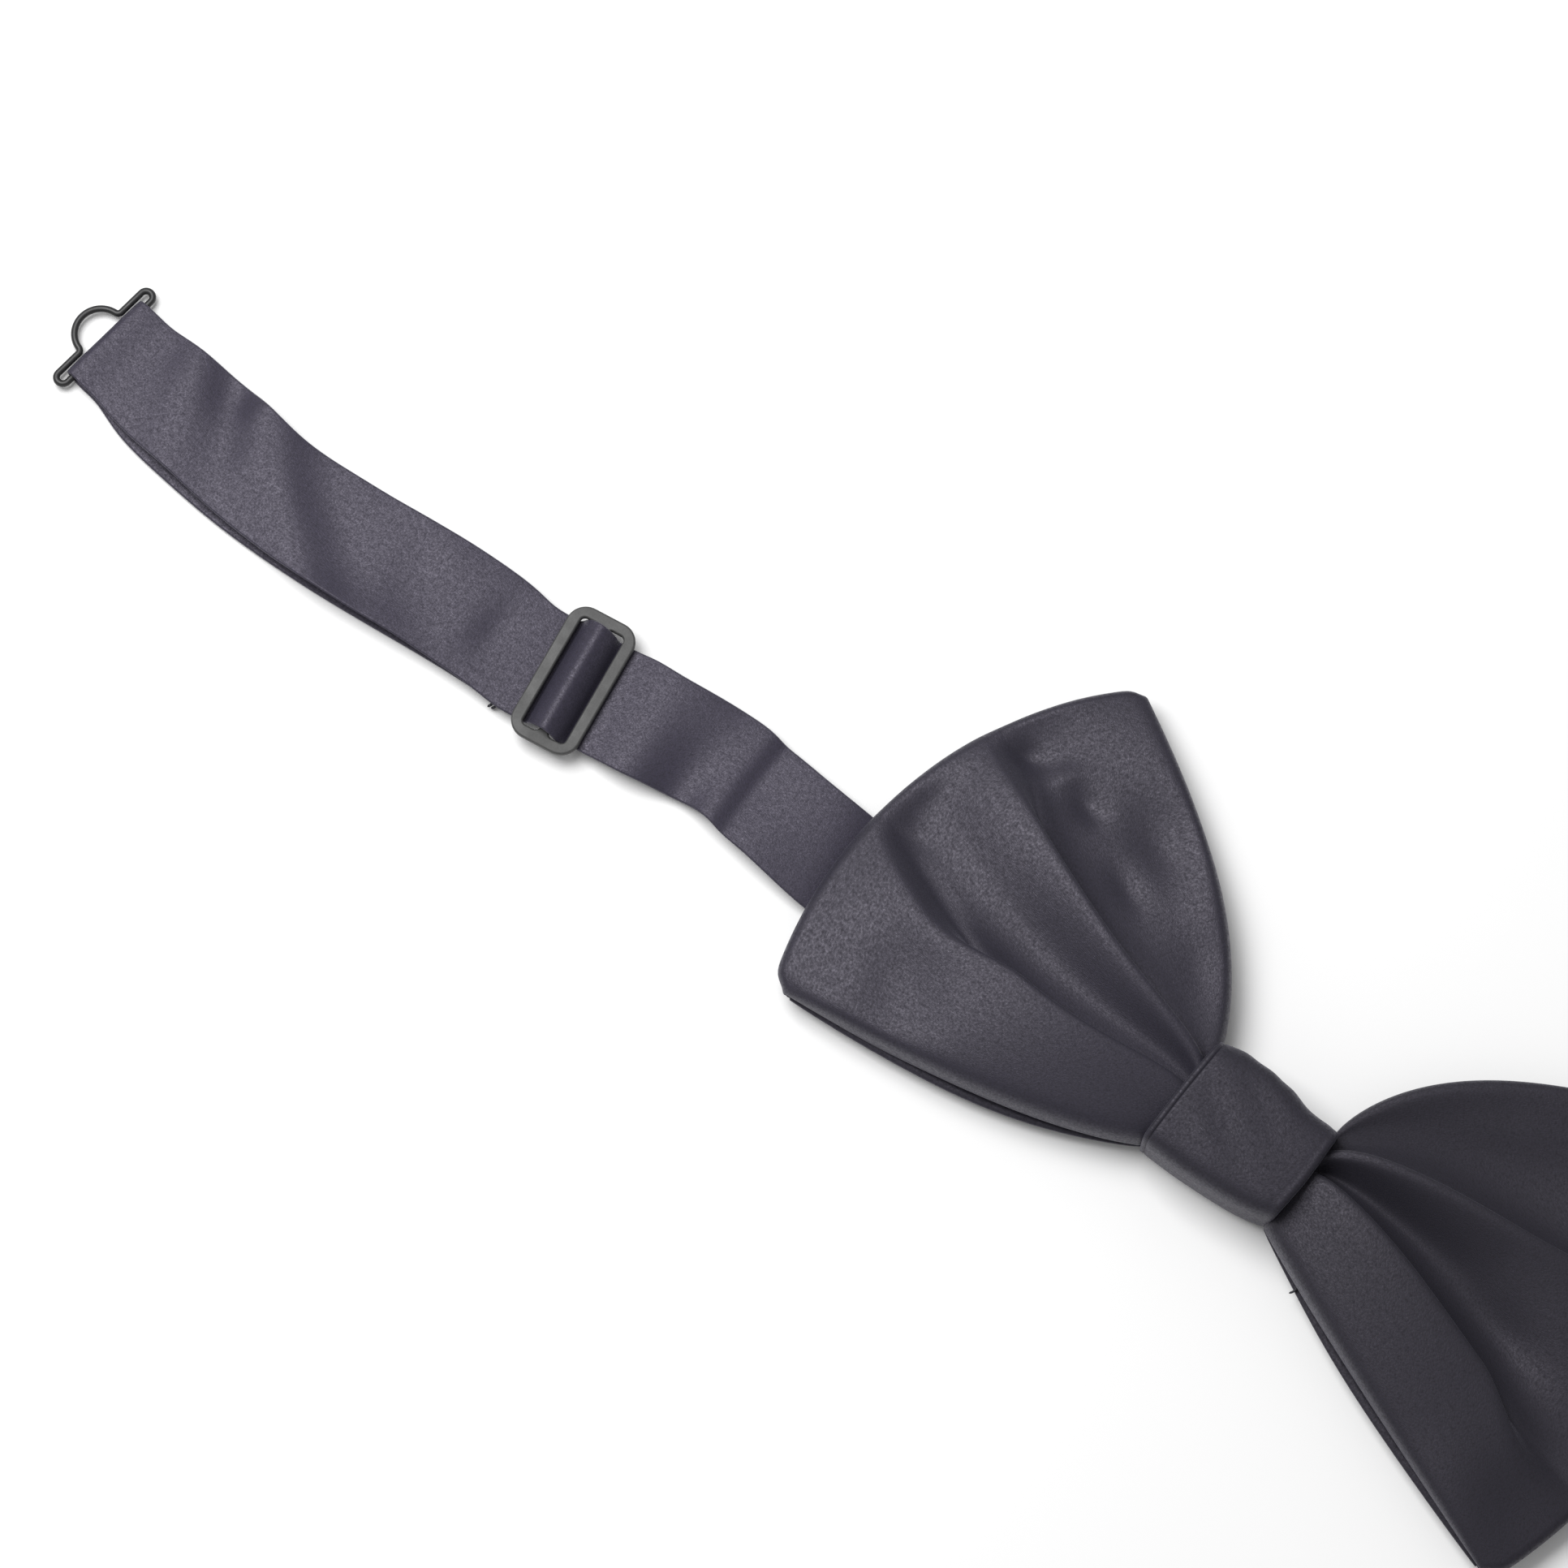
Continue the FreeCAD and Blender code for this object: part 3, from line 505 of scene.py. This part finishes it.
for name, wing in WINGS.items():
    # The far wing gets the satin with painted shade, a darker copy of the same cloth
    cloth = WING_SATIN if name == "left" else FAR_WING_SATIN_PAINTED_SHADE
    front = front_ply("wing_%s_front" % name, wing, DENTS[name], cloth)
    lining = smooth_ply("wing_%s_interlining" % name, wing, reach=0.86, low=lambda s: 0.05,
                        high=lambda s: 0.95, height=lining_z, material=LINING, thickness=0.4)
    # The back ply's lower edge, which shows a little below the front's
    peek = curve_of((0, 0), (.3, -.026), (.6, -.016), (1, -.002))
    back = smooth_ply("wing_%s_back" % name, wing, reach=0.985, low=peek, high=lambda s: 1.0,
                      height=back_z, material=cloth, thickness=PLY)
    for piece, node in ((front, "front_ply"), (lining, "interlining"), (back, "back_ply")):
        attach(piece, "bow")
        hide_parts("bow_%s_%s" % (name, node))


# ---------------------------------------------------------------------- knot

# The strip's upper and lower ends in Y, along X
wrap_top = curve_of((-10, 9.3), (-8, 9.9), (-6.2, 10.45), (-4.4, 10.2), (-2, 10.55), (0, 10.1), (1.8, 10.25),
                    (4.2, 9.3), (6.6, 9.15), (8.4, 9.35), (10, 9.2))
wrap_bottom = curve_of((-10, -8.6), (-4.6, -8.6), (2.5, -8.0), (7, -7.3), (10, -6.2))


def loop_section(y0, y1, z0, z1, squareness, seam_y, count):
    """A closed, soft-cornered loop in Y and Z that starts and ends at the seam underneath."""
    a = np.linspace(0, 2 * math.pi, 721)
    y = (y0 + y1) / 2 + (y1 - y0) / 2 * np.sign(np.cos(a)) * np.abs(np.cos(a)) ** (2 / squareness)
    z = (z0 + z1) / 2 + (z1 - z0) / 2 * np.sign(np.sin(a)) * np.abs(np.sin(a)) ** (2 / squareness)
    ring = np.column_stack([y, z])[:-1]
    below = np.where(ring[:, 1] < (z0 + z1) / 2)[0]
    start = below[np.argmin(np.abs(ring[below, 0] - seam_y))]
    ring = np.vstack([np.roll(ring, -start, axis=0), ring[start]])
    far = np.concatenate([[0], np.cumsum(np.linalg.norm(np.diff(ring, axis=0), axis=1))])
    at = np.linspace(far[-1] * 0.003, far[-1] * 0.997, count)
    return np.column_stack([np.interp(at, far, ring[:, 0]), np.interp(at, far, ring[:, 1])])


def knot_strip(name, inset, half, thickness, material, bulge):
    """The strip round the knot. Its left edge stands proud of a groove, its right edge is plainer.

    half is half the strip's width, and bulge is how far its left and right sides swell out in front."""
    bottom, top, squareness, seam_y = 0.45, 12.5, 5.2, 4.0
    rows = []
    across = np.concatenate([[-1, -0.995, -0.98, -0.965, -0.95], np.linspace(-0.945, -0.905, 9),
                             [-0.89, -0.86], np.linspace(-0.8, 0.8, 29),
                             [0.86, 0.89, 0.915, 0.94, 0.96, 0.98, 0.995, 1]])
    for r in across:
        x = r * half
        hem = 0.05 * bell(r, -0.975, 0.02) - 0.32 * bell(r, -0.932, 0.015) - 0.03 * bell(r, 0.9, 0.03)
        turned = 0.9 * np.clip((abs(r) - 0.985) / 0.015, 0, 1) ** 2
        shrink = inset - hem + turned
        barrel = 0.15 * (1 - r * r)
        section = loop_section(wrap_bottom(x) + shrink, wrap_top(x) - shrink,
                               bottom + shrink, top + barrel - shrink, squareness, seam_y, 150)
        y, z = section[:, 0], section[:, 1]
        front = np.clip((z - 3) / 8, 0, 1) ** 2
        reach = (bulge[1] if r > 0 else bulge[0]) * front * bell(y, 0.6, 7.0)
        wrinkle = 0.07 * np.sin(0.9 * y + 0.51 * x) * bell(x, -3, 7) * front
        rows.append(np.column_stack([x + r * reach, y, z + wrinkle]))
    return solid_sheet(name, np.array(rows), thickness, material, rim=0.8)


# The knot's strip carries painted shade: its satin is a darker copy of the wings' cloth
wrap = knot_strip("knot_wrap_satin", inset=0.30, half=10.1, thickness=0.55, material=KNOT_SATIN_PAINTED_SHADE,
                  bulge=(0.15, 0.55))
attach(wrap, "bow")
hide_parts("knot_wrap")

padding = knot_strip("knot_padding", inset=1.05, half=9.5, thickness=0.4, material=LINING, bulge=(0.3, 0.6))
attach(padding, "bow")
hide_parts("knot_interlining")


def gather():
    """The bow's middle, squeezed into a bundle of narrow folds, with a shallow point at each end."""
    half_length, end_x, end_y, end_z = 9.4, 9.6, 0.6, 6.7
    low, high, bottom, top = -6.0, 7.2, 3.2, 10.2
    rows = []
    for x in np.linspace(-half_length, half_length, 40):
        waist = 0.9 * bell(x, 0, 4.5)
        ring = loop_section(low + waist, high - waist, bottom + waist * 0.4, top - waist,
                            squareness=2.6, seam_y=2.0, count=180)
        middle = ring.mean(axis=0)
        a = np.arctan2(ring[:, 1] - middle[1], ring[:, 0] - middle[0])
        fold = 1 + 0.035 * np.sin(11 * a + 0.15 * x) + 0.02 * np.sin(5 * a - 0.2 * x)
        rows.append(np.column_stack([np.full(len(ring), x), middle + (ring - middle) * fold[:, None]]))
    n, m = len(rows), len(rows[0])
    points = np.vstack(rows + [[[-end_x, end_y, end_z], [end_x, end_y, end_z]]])
    faces = [(i * m + j, i * m + (j + 1) % m, (i + 1) * m + (j + 1) % m, (i + 1) * m + j)
             for i in range(n - 1) for j in range(m)]
    faces += [((j + 1) % m, j, n * m) for j in range(m)]
    faces += [((n - 1) * m + j, (n - 1) * m + (j + 1) % m, n * m + 1) for j in range(m)]
    uv = np.column_stack([points[:, 0], points[:, 1]]) * MM
    return mesh_piece("bow_gather", points, faces, WING_SATIN, uv)


bundle = gather()
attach(bundle, "bow")
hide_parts("bow_centre_gather")

# A row of slanting stitches closes the strip underneath
SEAM_START, SEAM_STEP, SEAM_STITCHES = -8.4, 2.1, 9
seam = []
for step in range(SEAM_STITCHES):
    x = SEAM_START + SEAM_STEP * step
    seam.append([(x, 2.9, 0.30), (x + 0.25, 3.4, 0.17), (x + 0.6, 4.5, 0.17), (x + 0.8, 5.1, 0.30)])
back_stitches = threads("knot_seam_stitches", seam, radius=0.14, material=THREAD)
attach(back_stitches, "bow")
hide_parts("knot_back_stitches")


# --------------------------------------------------------------------- straps

SLIDE_POS, SLIDE_TURN = (-113.15, -5.25), 10.0    # the slide's middle bar, and its turn about Z in degrees
EYE_POS, EYE_TURN = (-196.7, -7.4), -5.0          # the eye's bar
HOOK_POS = (186.0, -1.0)                          # the hook's bar
WIRE_Z = 1.25                                     # how high both of those bars lie
FOLD_REACH, FOLD_RISE = 0.96, 0.93                # from a bar's middle to that of the strap folded round it
FOLD_WIDTH = 14.5                                 # the strap's width there


def beside(pos, turn, places, width, thickness=.6):
    """Strap stations straight across a fitting; places are (how far from its bar, z)."""
    return [(*placed(pos, turn, x), z, width, turn, thickness, 0) for x, z in places]


def folded_round(pos, turn, angles):
    """Strap stations round a fitting's bar; angles are in degrees, 90 at the top."""
    stations = []
    for a in np.radians(angles):
        place = placed(pos, turn, FOLD_REACH * math.cos(a))
        stations.append((*place, WIRE_Z + FOLD_RISE * math.sin(a), FOLD_WIDTH, turn, .6, 0))
    return stations


def strap(name, stations, ripple=None, per=8):
    """A flat satin tube pressed into a strap.

    Each station is (x, y, z of the middle, width, turn about Z, thickness, how much it ripples there)."""
    rows = spline(stations, per)
    half = np.array([0.2, 0.4, 0.6, 0.75, 0.88, 0.95, 0.985, 1])
    across = np.concatenate([-half[::-1], [0], half])
    turn = np.radians(rows[:, 4])
    side = np.column_stack([-np.sin(turn), np.cos(turn), np.zeros(len(turn))])
    grid = rows[:, None, :3] + side[:, None, :] * (rows[:, 3] / 2)[:, None, None] * across[None, :, None]
    if ripple:
        grid[:, :, 2] += ripple(grid[:, :, 0], across[None, :]) * rows[:, 6][:, None]
    profile = 0.62 + 0.38 * np.clip(1 - np.abs(across) ** 6, 0, 1)
    # Straps use the satin with painted sheen, a lighter copy of the wings' cloth
    return solid_sheet(name, grid, rows[:, 5][:, None] * profile[None, :], BAND_SATIN_PAINTED_SHEEN, rim=0.8)


# Along X: the heights of the outer strap's broad waves, and how far each runs askew across the width
outer_wave = curve_of((-198, 0), (-193.5, 0), (-190.5, -.2), (-188, .1), (-184.5, 1.3), (-182, 1.6),
                      (-176, -.5), (-173, -.4), (-168, .8), (-163, 1.5), (-160.5, 1.3), (-154, -.6),
                      (-150.5, -.7), (-145, -.1), (-140, -.1), (-135, .3), (-130, .3), (-126, -.1),
                      (-122, 0), (-118, 0))
wave_skew = curve_of((-198, 4), (-180, 5), (-168, 6), (-156, 9), (-146, 11), (-136, 5), (-126, 0), (-118, 0))

# Small dents and rises of the outer strap: (x, place across from -1 to 1, reach in mm, height in mm)
STRAP_DENTS = ((-187.5, .9, 2.2, -.35), (-177, .75, 3.6, -.6), (-172.5, .9, 2.4, .45), (-169.5, 0, 2.6, .4),
               (-151, -.7, 5, -.35), (-146, .2, 3, .25), (-140, -.5, 3.5, -.4), (-137.5, .6, 3, .3),
               (-131, -.2, 3, .3), (-126.5, 0, 2.0, -.3))


def curl(v):
    """How a strap's lower edge lifts: nothing near the middle, 1 at the edge."""
    return np.clip((0.2 - v) / 1.2, 0, 1) ** 1.4


def ripples(x, v):
    """Soft unevenness of the outer strap: broad waves that run askew, dents, and a lifted lower edge."""
    broad = outer_wave(x + wave_skew(x) * v) * (0.66 + 0.22 * np.sin(x / 7.0 + 2.4 * v))
    broad = broad * (1 - 0.4 * np.clip(-v, 0, 1))
    for at, across, reach, height in STRAP_DENTS:
        broad = broad + height * bell(x, at, reach) * bell(v, across, 0.45)
    lifted = 1.9 * curl(v) * bell(x, -144, 11)
    return broad + lifted + 0.08 * np.sin(x / 2.1 + 1.5 * v) * (0.4 + 0.6 * v * v)


def hollow(x, v):
    """From slide to wing: a dip that deepens towards the lower edge, a lift beside it, slight waves."""
    dip = -1.0 * np.clip((0.55 - v) / 1.2, 0, 1.3) * bell(x, -92.5 - 1.5 * v, 4.4)
    lift = 1.4 * curl(v) * bell(x, -84, 5.5) - 0.3 * bell(v, -1.0, 0.6) * bell(x, -82.5, 2.0)
    return dip + lift + 0.08 * np.sin(x / 1.9 + 1.3 * v)


def small_waves(x, v):
    """The slight unevenness of a strap that lies almost flat."""
    return 0.22 * np.sin(x / 5.3 + 0.8 * v) + 0.12 * np.sin(x / 3.1 - 0.9 * v)


# Through the knot and out under the wing
CENTRE = [(9.6, 0.5, 1.75, 12.0, 0, .6, 0), (4, 0.5, 1.75, 12.0, 0, .6, 0), (-4, 0.5, 1.75, 12.0, 0, .6, 0),
          (-9.0, 0.5, 1.75, 12.2, 0, .6, 0), (-11.0, 0.4, 1.75, 14.0, 0, .65, 0),
          (-14.5, 0.2, 1.75, 15.6, 0, .7, 0), (-20, 0, 1.7, 15.8, 0, .7, 0),
          (-30, -.5, 1.6, 15.8, 0, .7, 0)]
inner = strap("strap_left_inner", CENTRE)
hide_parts("band_centre", "band_left_inner")
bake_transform(inner)

# Under the wing, over the kink, then under, over and under the slide's bars
RUN = [(-30, -.5, 1.6, 15.8, 0, .7, 0), (-42, -1.0, 1.6, 15.8, 0, .7, 0), (-55, -1.6, 1.3, 15.8, 0, .7, 0),
       (-62, -2.0, 1.3, 15.8, 0, .7, .3), (-66, -2.2, 1.5, 15.9, 0, .7, .6),
       (-70, -2.3, 2.5, 15.8, 1, .7, 1), (-75, -2.1, 3.0, 15.5, 2, .7, 1), (-79, -1.8, 2.6, 15.4, 2, .7, 1),
       (-82.6, -1.6, 1.8, 15.4, 1, .7, 1), (-84.2, -1.5, 1.75, 15.3, 1, .7, 1),
       (-86.2, -1.2, 2.65, 15.2, 0, .7, 1), (-88.5, -1.1, 2.6, 15.2, 0, .7, 1),
       (-91.5, -1.4, 2.45, 15.3, 2, .7, 1), (-94.5, -2.0, 2.75, 15.6, 4, .7, 1),
       (-98, -2.8, 3.4, 15.9, 6, .7, 1), (-101, -3.4, 3.45, 16.2, 8, .7, .8)]
for x, z, width in ((9.0, 2.75, 16.5), (7.0, 2.25, 16.4), (5.2, 2.1, 16.3), (4.0, 2.1, 16.3),
                    (3.3, 1.9, 16.6), (2.85, 2.1, 16.9), (2.45, 2.9, 17.0), (1.8, 4.0, 17.0),
                    (0.9, 4.9, 17.0), (0, 5.3, 17.0), (-0.9, 4.9, 17.0), (-1.8, 4.0, 17.0),
                    (-2.45, 2.9, 17.0), (-2.85, 2.1, 16.9), (-3.3, 1.9, 16.6), (-4.3, 2.1, 16.3)):
    skew = -0.12 * x if abs(x) < 3 else 0
    RUN.append((*placed(SLIDE_POS, SLIDE_TURN, x, skew), z, width, SLIDE_TURN, .55, .6 if x > 6 else 0))
run = strap("strap_left_run", RUN, hollow, per=7)
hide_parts("band_left_run", "band_weave")
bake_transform(run)

# From the slide out to the eye, round its bar, back underneath, and round the slide's middle bar
LOOP = []
for x, z, width, ripple in ((-4.3, 2.1, 16.3, 0), (-5.6, 2.12, 16.4, 0), (-8.0, 2.2, 16.5, .4)):
    LOOP.append((*placed(SLIDE_POS, SLIDE_TURN, x), z, width, SLIDE_TURN, .6, ripple))
LOOP += [(-125, -6.2, 2.2, 16.8, 8, .7, .8), (-131, -6.6, 2.3, 16.9, 6, .7, 1),
         (-138, -7.2, 2.3, 17.0, 5, .7, 1), (-146, -8.4, 2.3, 17.1, 3, .7, 1),
         (-154, -9.2, 2.3, 16.9, 0, .7, 1), (-161, -9.6, 2.3, 16.3, -2, .7, 1),
         (-167, -9.7, 2.3, 15.9, -4, .7, 1), (-173, -9.1, 2.3, 16.3, -4, .7, 1),
         (-180, -8.6, 2.25, 16.2, -4, .7, 1), (-187, -8.3, 1.95, 15.9, -4, .7, .8)]
LOOP += beside(EYE_POS, EYE_TURN, ((5.5, 1.6), (3.0, 1.86), (1.2, 2.17)), 14.6)
LOOP += folded_round(EYE_POS, EYE_TURN, (90, 115, 140, 165, 195, 220, 245, 270))
LOOP += beside(EYE_POS, EYE_TURN, ((1.2, .37), (3.0, .37), (5.5, .37)), 14.8)
LOOP += [(-186, -9.4, .42, 15.9, -4, .7, 0), (-177, -10.0, .42, 16.0, -4, .7, 0),
         (-168, -10.5, .42, 16.1, -2, .7, 0), (-158, -10.1, .42, 16.1, 0, .7, 0),
         (-148, -9.2, .42, 16.0, 3, .7, 0), (-139, -8.0, .42, 15.8, 5, .7, 0),
         (-130, -7.0, .42, 15.4, 7, .7, 0)]
ROUND_MIDDLE_BAR = ((-10.5, .42), (-7.5, .38), (-4.4, .36), (-2.9, .40), (-1.8, .75), (-.8, 1.45), (.1, 1.95),
                    (.8, 2.25), (1.15, 2.8), (1.12, 3.5), (.75, 4.0), (0, 4.08), (-.75, 4.0), (-1.12, 3.5),
                    (-1.15, 2.7), (-1.5, 1.95), (-2.2, 1.35), (-3.2, 1.12), (-6, 1.08), (-9.2, 1.08))
LOOP += beside(SLIDE_POS, SLIDE_TURN, ROUND_MIDDLE_BAR, 14.4, .5)
loop = strap("strap_left_loop", LOOP, ripples, per=6)
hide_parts("band_left_outer", "band_tail", "band_eye_fold", "band_tail_loop")
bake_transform(loop)

# From the knot out to the hook, round its bar and back underneath to where it is sewn
RIGHT = [(9.6, 0.5, 1.75, 12.2, 0, .6, 0), (11.0, 0.4, 1.75, 14.0, 0, .65, 0),
         (14.5, 0.3, 1.75, 15.6, 0, .7, 0), (22, 0.1, 1.75, 15.8, 0, .7, 0),
         (40, -.3, 1.75, 15.8, 0, .7, 0), (60, -.6, 1.75, 15.8, 0, .7, .3), (80, -.9, 1.8, 15.8, 0, .7, .6),
         (100, -1.1, 1.8, 15.8, 0, .7, .6), (120, -1.2, 1.8, 15.8, 0, .7, .6),
         (140, -1.1, 1.9, 15.8, 0, .7, .6), (158, -1.0, 2.0, 15.7, 0, .7, .4),
         (172, -1.0, 2.15, 15.2, 0, .7, 0), (179, -1.0, 2.18, 14.6, 0, .6, 0),
         (183, -1.0, 2.2, 14.5, 0, .6, 0), (185, -1.0, 2.2, 14.5, 0, .6, 0)]
RIGHT += folded_round(HOOK_POS, 0, (90, 65, 40, 15, -15, -40, -65, -90))
RIGHT += [(184.6, -1, .37, 14.5, 0, .6, 0), (181, -1, .37, 14.5, 0, .6, 0), (177, -1, .9, 14.5, 0, .6, 0),
          (174.2, -1, 1.0, 14.5, 0, .6, 0)]
right = strap("strap_right", RIGHT, small_waves, per=7)
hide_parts("band_right", "band_right_fold")
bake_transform(right)


# ---------------------------------------------------- stitches, thread ends

def tack_row(x, z_top, z_bottom, pos, turn):
    """A bar tack: close slanting stitches across the strap, on both faces."""
    half_width, count, half_stitch = 6.8, 15, 0.55
    lines = []
    for k in range(count):
        y = -half_width + 2 * half_width * k / (count - 1)
        for z, lift in ((z_top, 0.10), (z_bottom, -0.10)):
            a = placed(pos, turn, x - half_stitch, y)
            b = placed(pos, turn, x + half_stitch, y + half_width / count)
            lines.append([(*a, z - lift), (*a, z + lift * 0.6), (*b, z + lift * 0.6), (*b, z - lift)])
    return lines


tail_stitches = tack_row(x=-8.0, z_top=1.33, z_bottom=0.12, pos=SLIDE_POS, turn=SLIDE_TURN)
tail_tack = threads("tail_tack_stitches", tail_stitches, radius=0.11, material=THREAD)
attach(tail_tack, "adjuster")
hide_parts("tail_bar_tack")

hook_stitches = tack_row(x=-10.4, z_top=2.55, z_bottom=0.62, pos=HOOK_POS, turn=0)
hook_tack = threads("hook_tack_stitches", hook_stitches, radius=0.11, material=THREAD)
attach(hook_tack, "right_band")
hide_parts("hook_bar_tack")

# The tail tack's two thread ends, which show at the strap's lower edge
nx, ny = placed(SLIDE_POS, SLIDE_TURN, -8.6, -7.9)
nub_ends = [[(nx, ny + .6, .8), (nx - .1, ny - .1, .9), (nx - .4, ny - .7, .7)],
            [(nx + .4, ny + .5, .9), (nx + .5, ny - .2, .8), (nx + .1, ny - .5, .5)]]
nub = threads("tail_tack_end", nub_ends, radius=0.2, material=THREAD)
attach(nub, "adjuster")

# A loose end at the right wing's lower edge, near the knot
wing_end = [[(18.4, -9.8, 3.4), (18.5, -10.7, 3.3), (18.0, -11.3, 3.0)]]
wing_nub = threads("wing_thread_end", wing_end, radius=0.16, material=THREAD)
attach(wing_nub, "bow")


# ------------------------------------------------------------------ CAD nodes

# These stay as the CAD made them and only get their materials
CAD_LOOKS = (("adjuster_slide", SLIDE_METAL), ("eye_fitting", WIRE_METAL), ("hook_fitting", WIRE_METAL),
             ("gather_thread", THREAD), ("band_anchor_stitches", THREAD))
for node, material in CAD_LOOKS:
    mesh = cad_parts[node].data
    mesh.materials.clear()
    mesh.materials.append(material)


# ----------------------------------------------------------------- the studio

def softbox(name, location, target, size, watts):
    light = bpy.data.lights.new(name, "AREA")
    light.shape = "RECTANGLE"
    light.size, light.size_y = size, size
    light.energy = watts
    made = bpy.data.objects.new(name, light)
    made.location = location
    made.rotation_mode = "QUATERNION"
    made.rotation_quaternion = (Vector(target) - Vector(location)).to_track_quat("-Z", "Y")
    bpy.context.scene.collection.objects.link(made)


def studio():
    """White paper under an even white sky, with one softbox over the adjustable side."""
    floor_size, floor_z, paper_white, sky_strength = 6, -0.0002, 0.92, 0.38
    bpy.ops.mesh.primitive_plane_add(size=floor_size, location=(0, 0, floor_z))
    floor = bpy.context.object
    floor.name = "studio_floor"
    material, _, shader = new_material("paper_floor", roughness=0.9, specular=0.1)
    shader.inputs["Base Color"].default_value = (*grey(paper_white), 1)
    floor.data.materials.append(material)

    world = bpy.data.worlds.new("studio_world")
    world.use_nodes = True
    sky = world.node_tree.nodes["Background"]
    sky.inputs["Color"].default_value = (1, 1, 1, 1)
    sky.inputs["Strength"].default_value = sky_strength
    bpy.context.scene.world = world

    softbox("overhead", location=(-0.34, 0.0, 0.56), target=(-0.08, 0, 0), size=0.42, watts=4.1)
    bpy.context.scene.view_settings.view_transform = "Standard"
    bpy.context.scene.view_settings.look = "None"


def camera():
    """A long lens from above: the knot's top lies to the lower right of the view's middle."""
    azimuth, elevation, distance = math.radians(38.8), math.radians(75.0), 0.9
    knot_top, leftwards, upwards, lens = 0.012, 0.0620, 0.0478, 151.9
    right = Vector((math.cos(azimuth), math.sin(azimuth), 0))
    back = Vector((math.sin(azimuth) * math.cos(elevation), -math.cos(azimuth) * math.cos(elevation),
                   math.sin(elevation)))
    up = back.cross(right)
    data = bpy.data.cameras.new("camera")
    data.sensor_width = 36
    data.lens = lens
    data.clip_start, data.clip_end = 0.01, 20
    made = bpy.data.objects.new("camera", data)
    made.location = Vector((0, 0, knot_top)) + back * distance - right * leftwards + up * upwards
    made.rotation_mode = "QUATERNION"
    made.rotation_quaternion = (-back).to_track_quat("-Z", "Y")
    bpy.context.scene.collection.objects.link(made)
    bpy.context.scene.camera = made


studio()
camera()

bpy.context.view_layer.update()
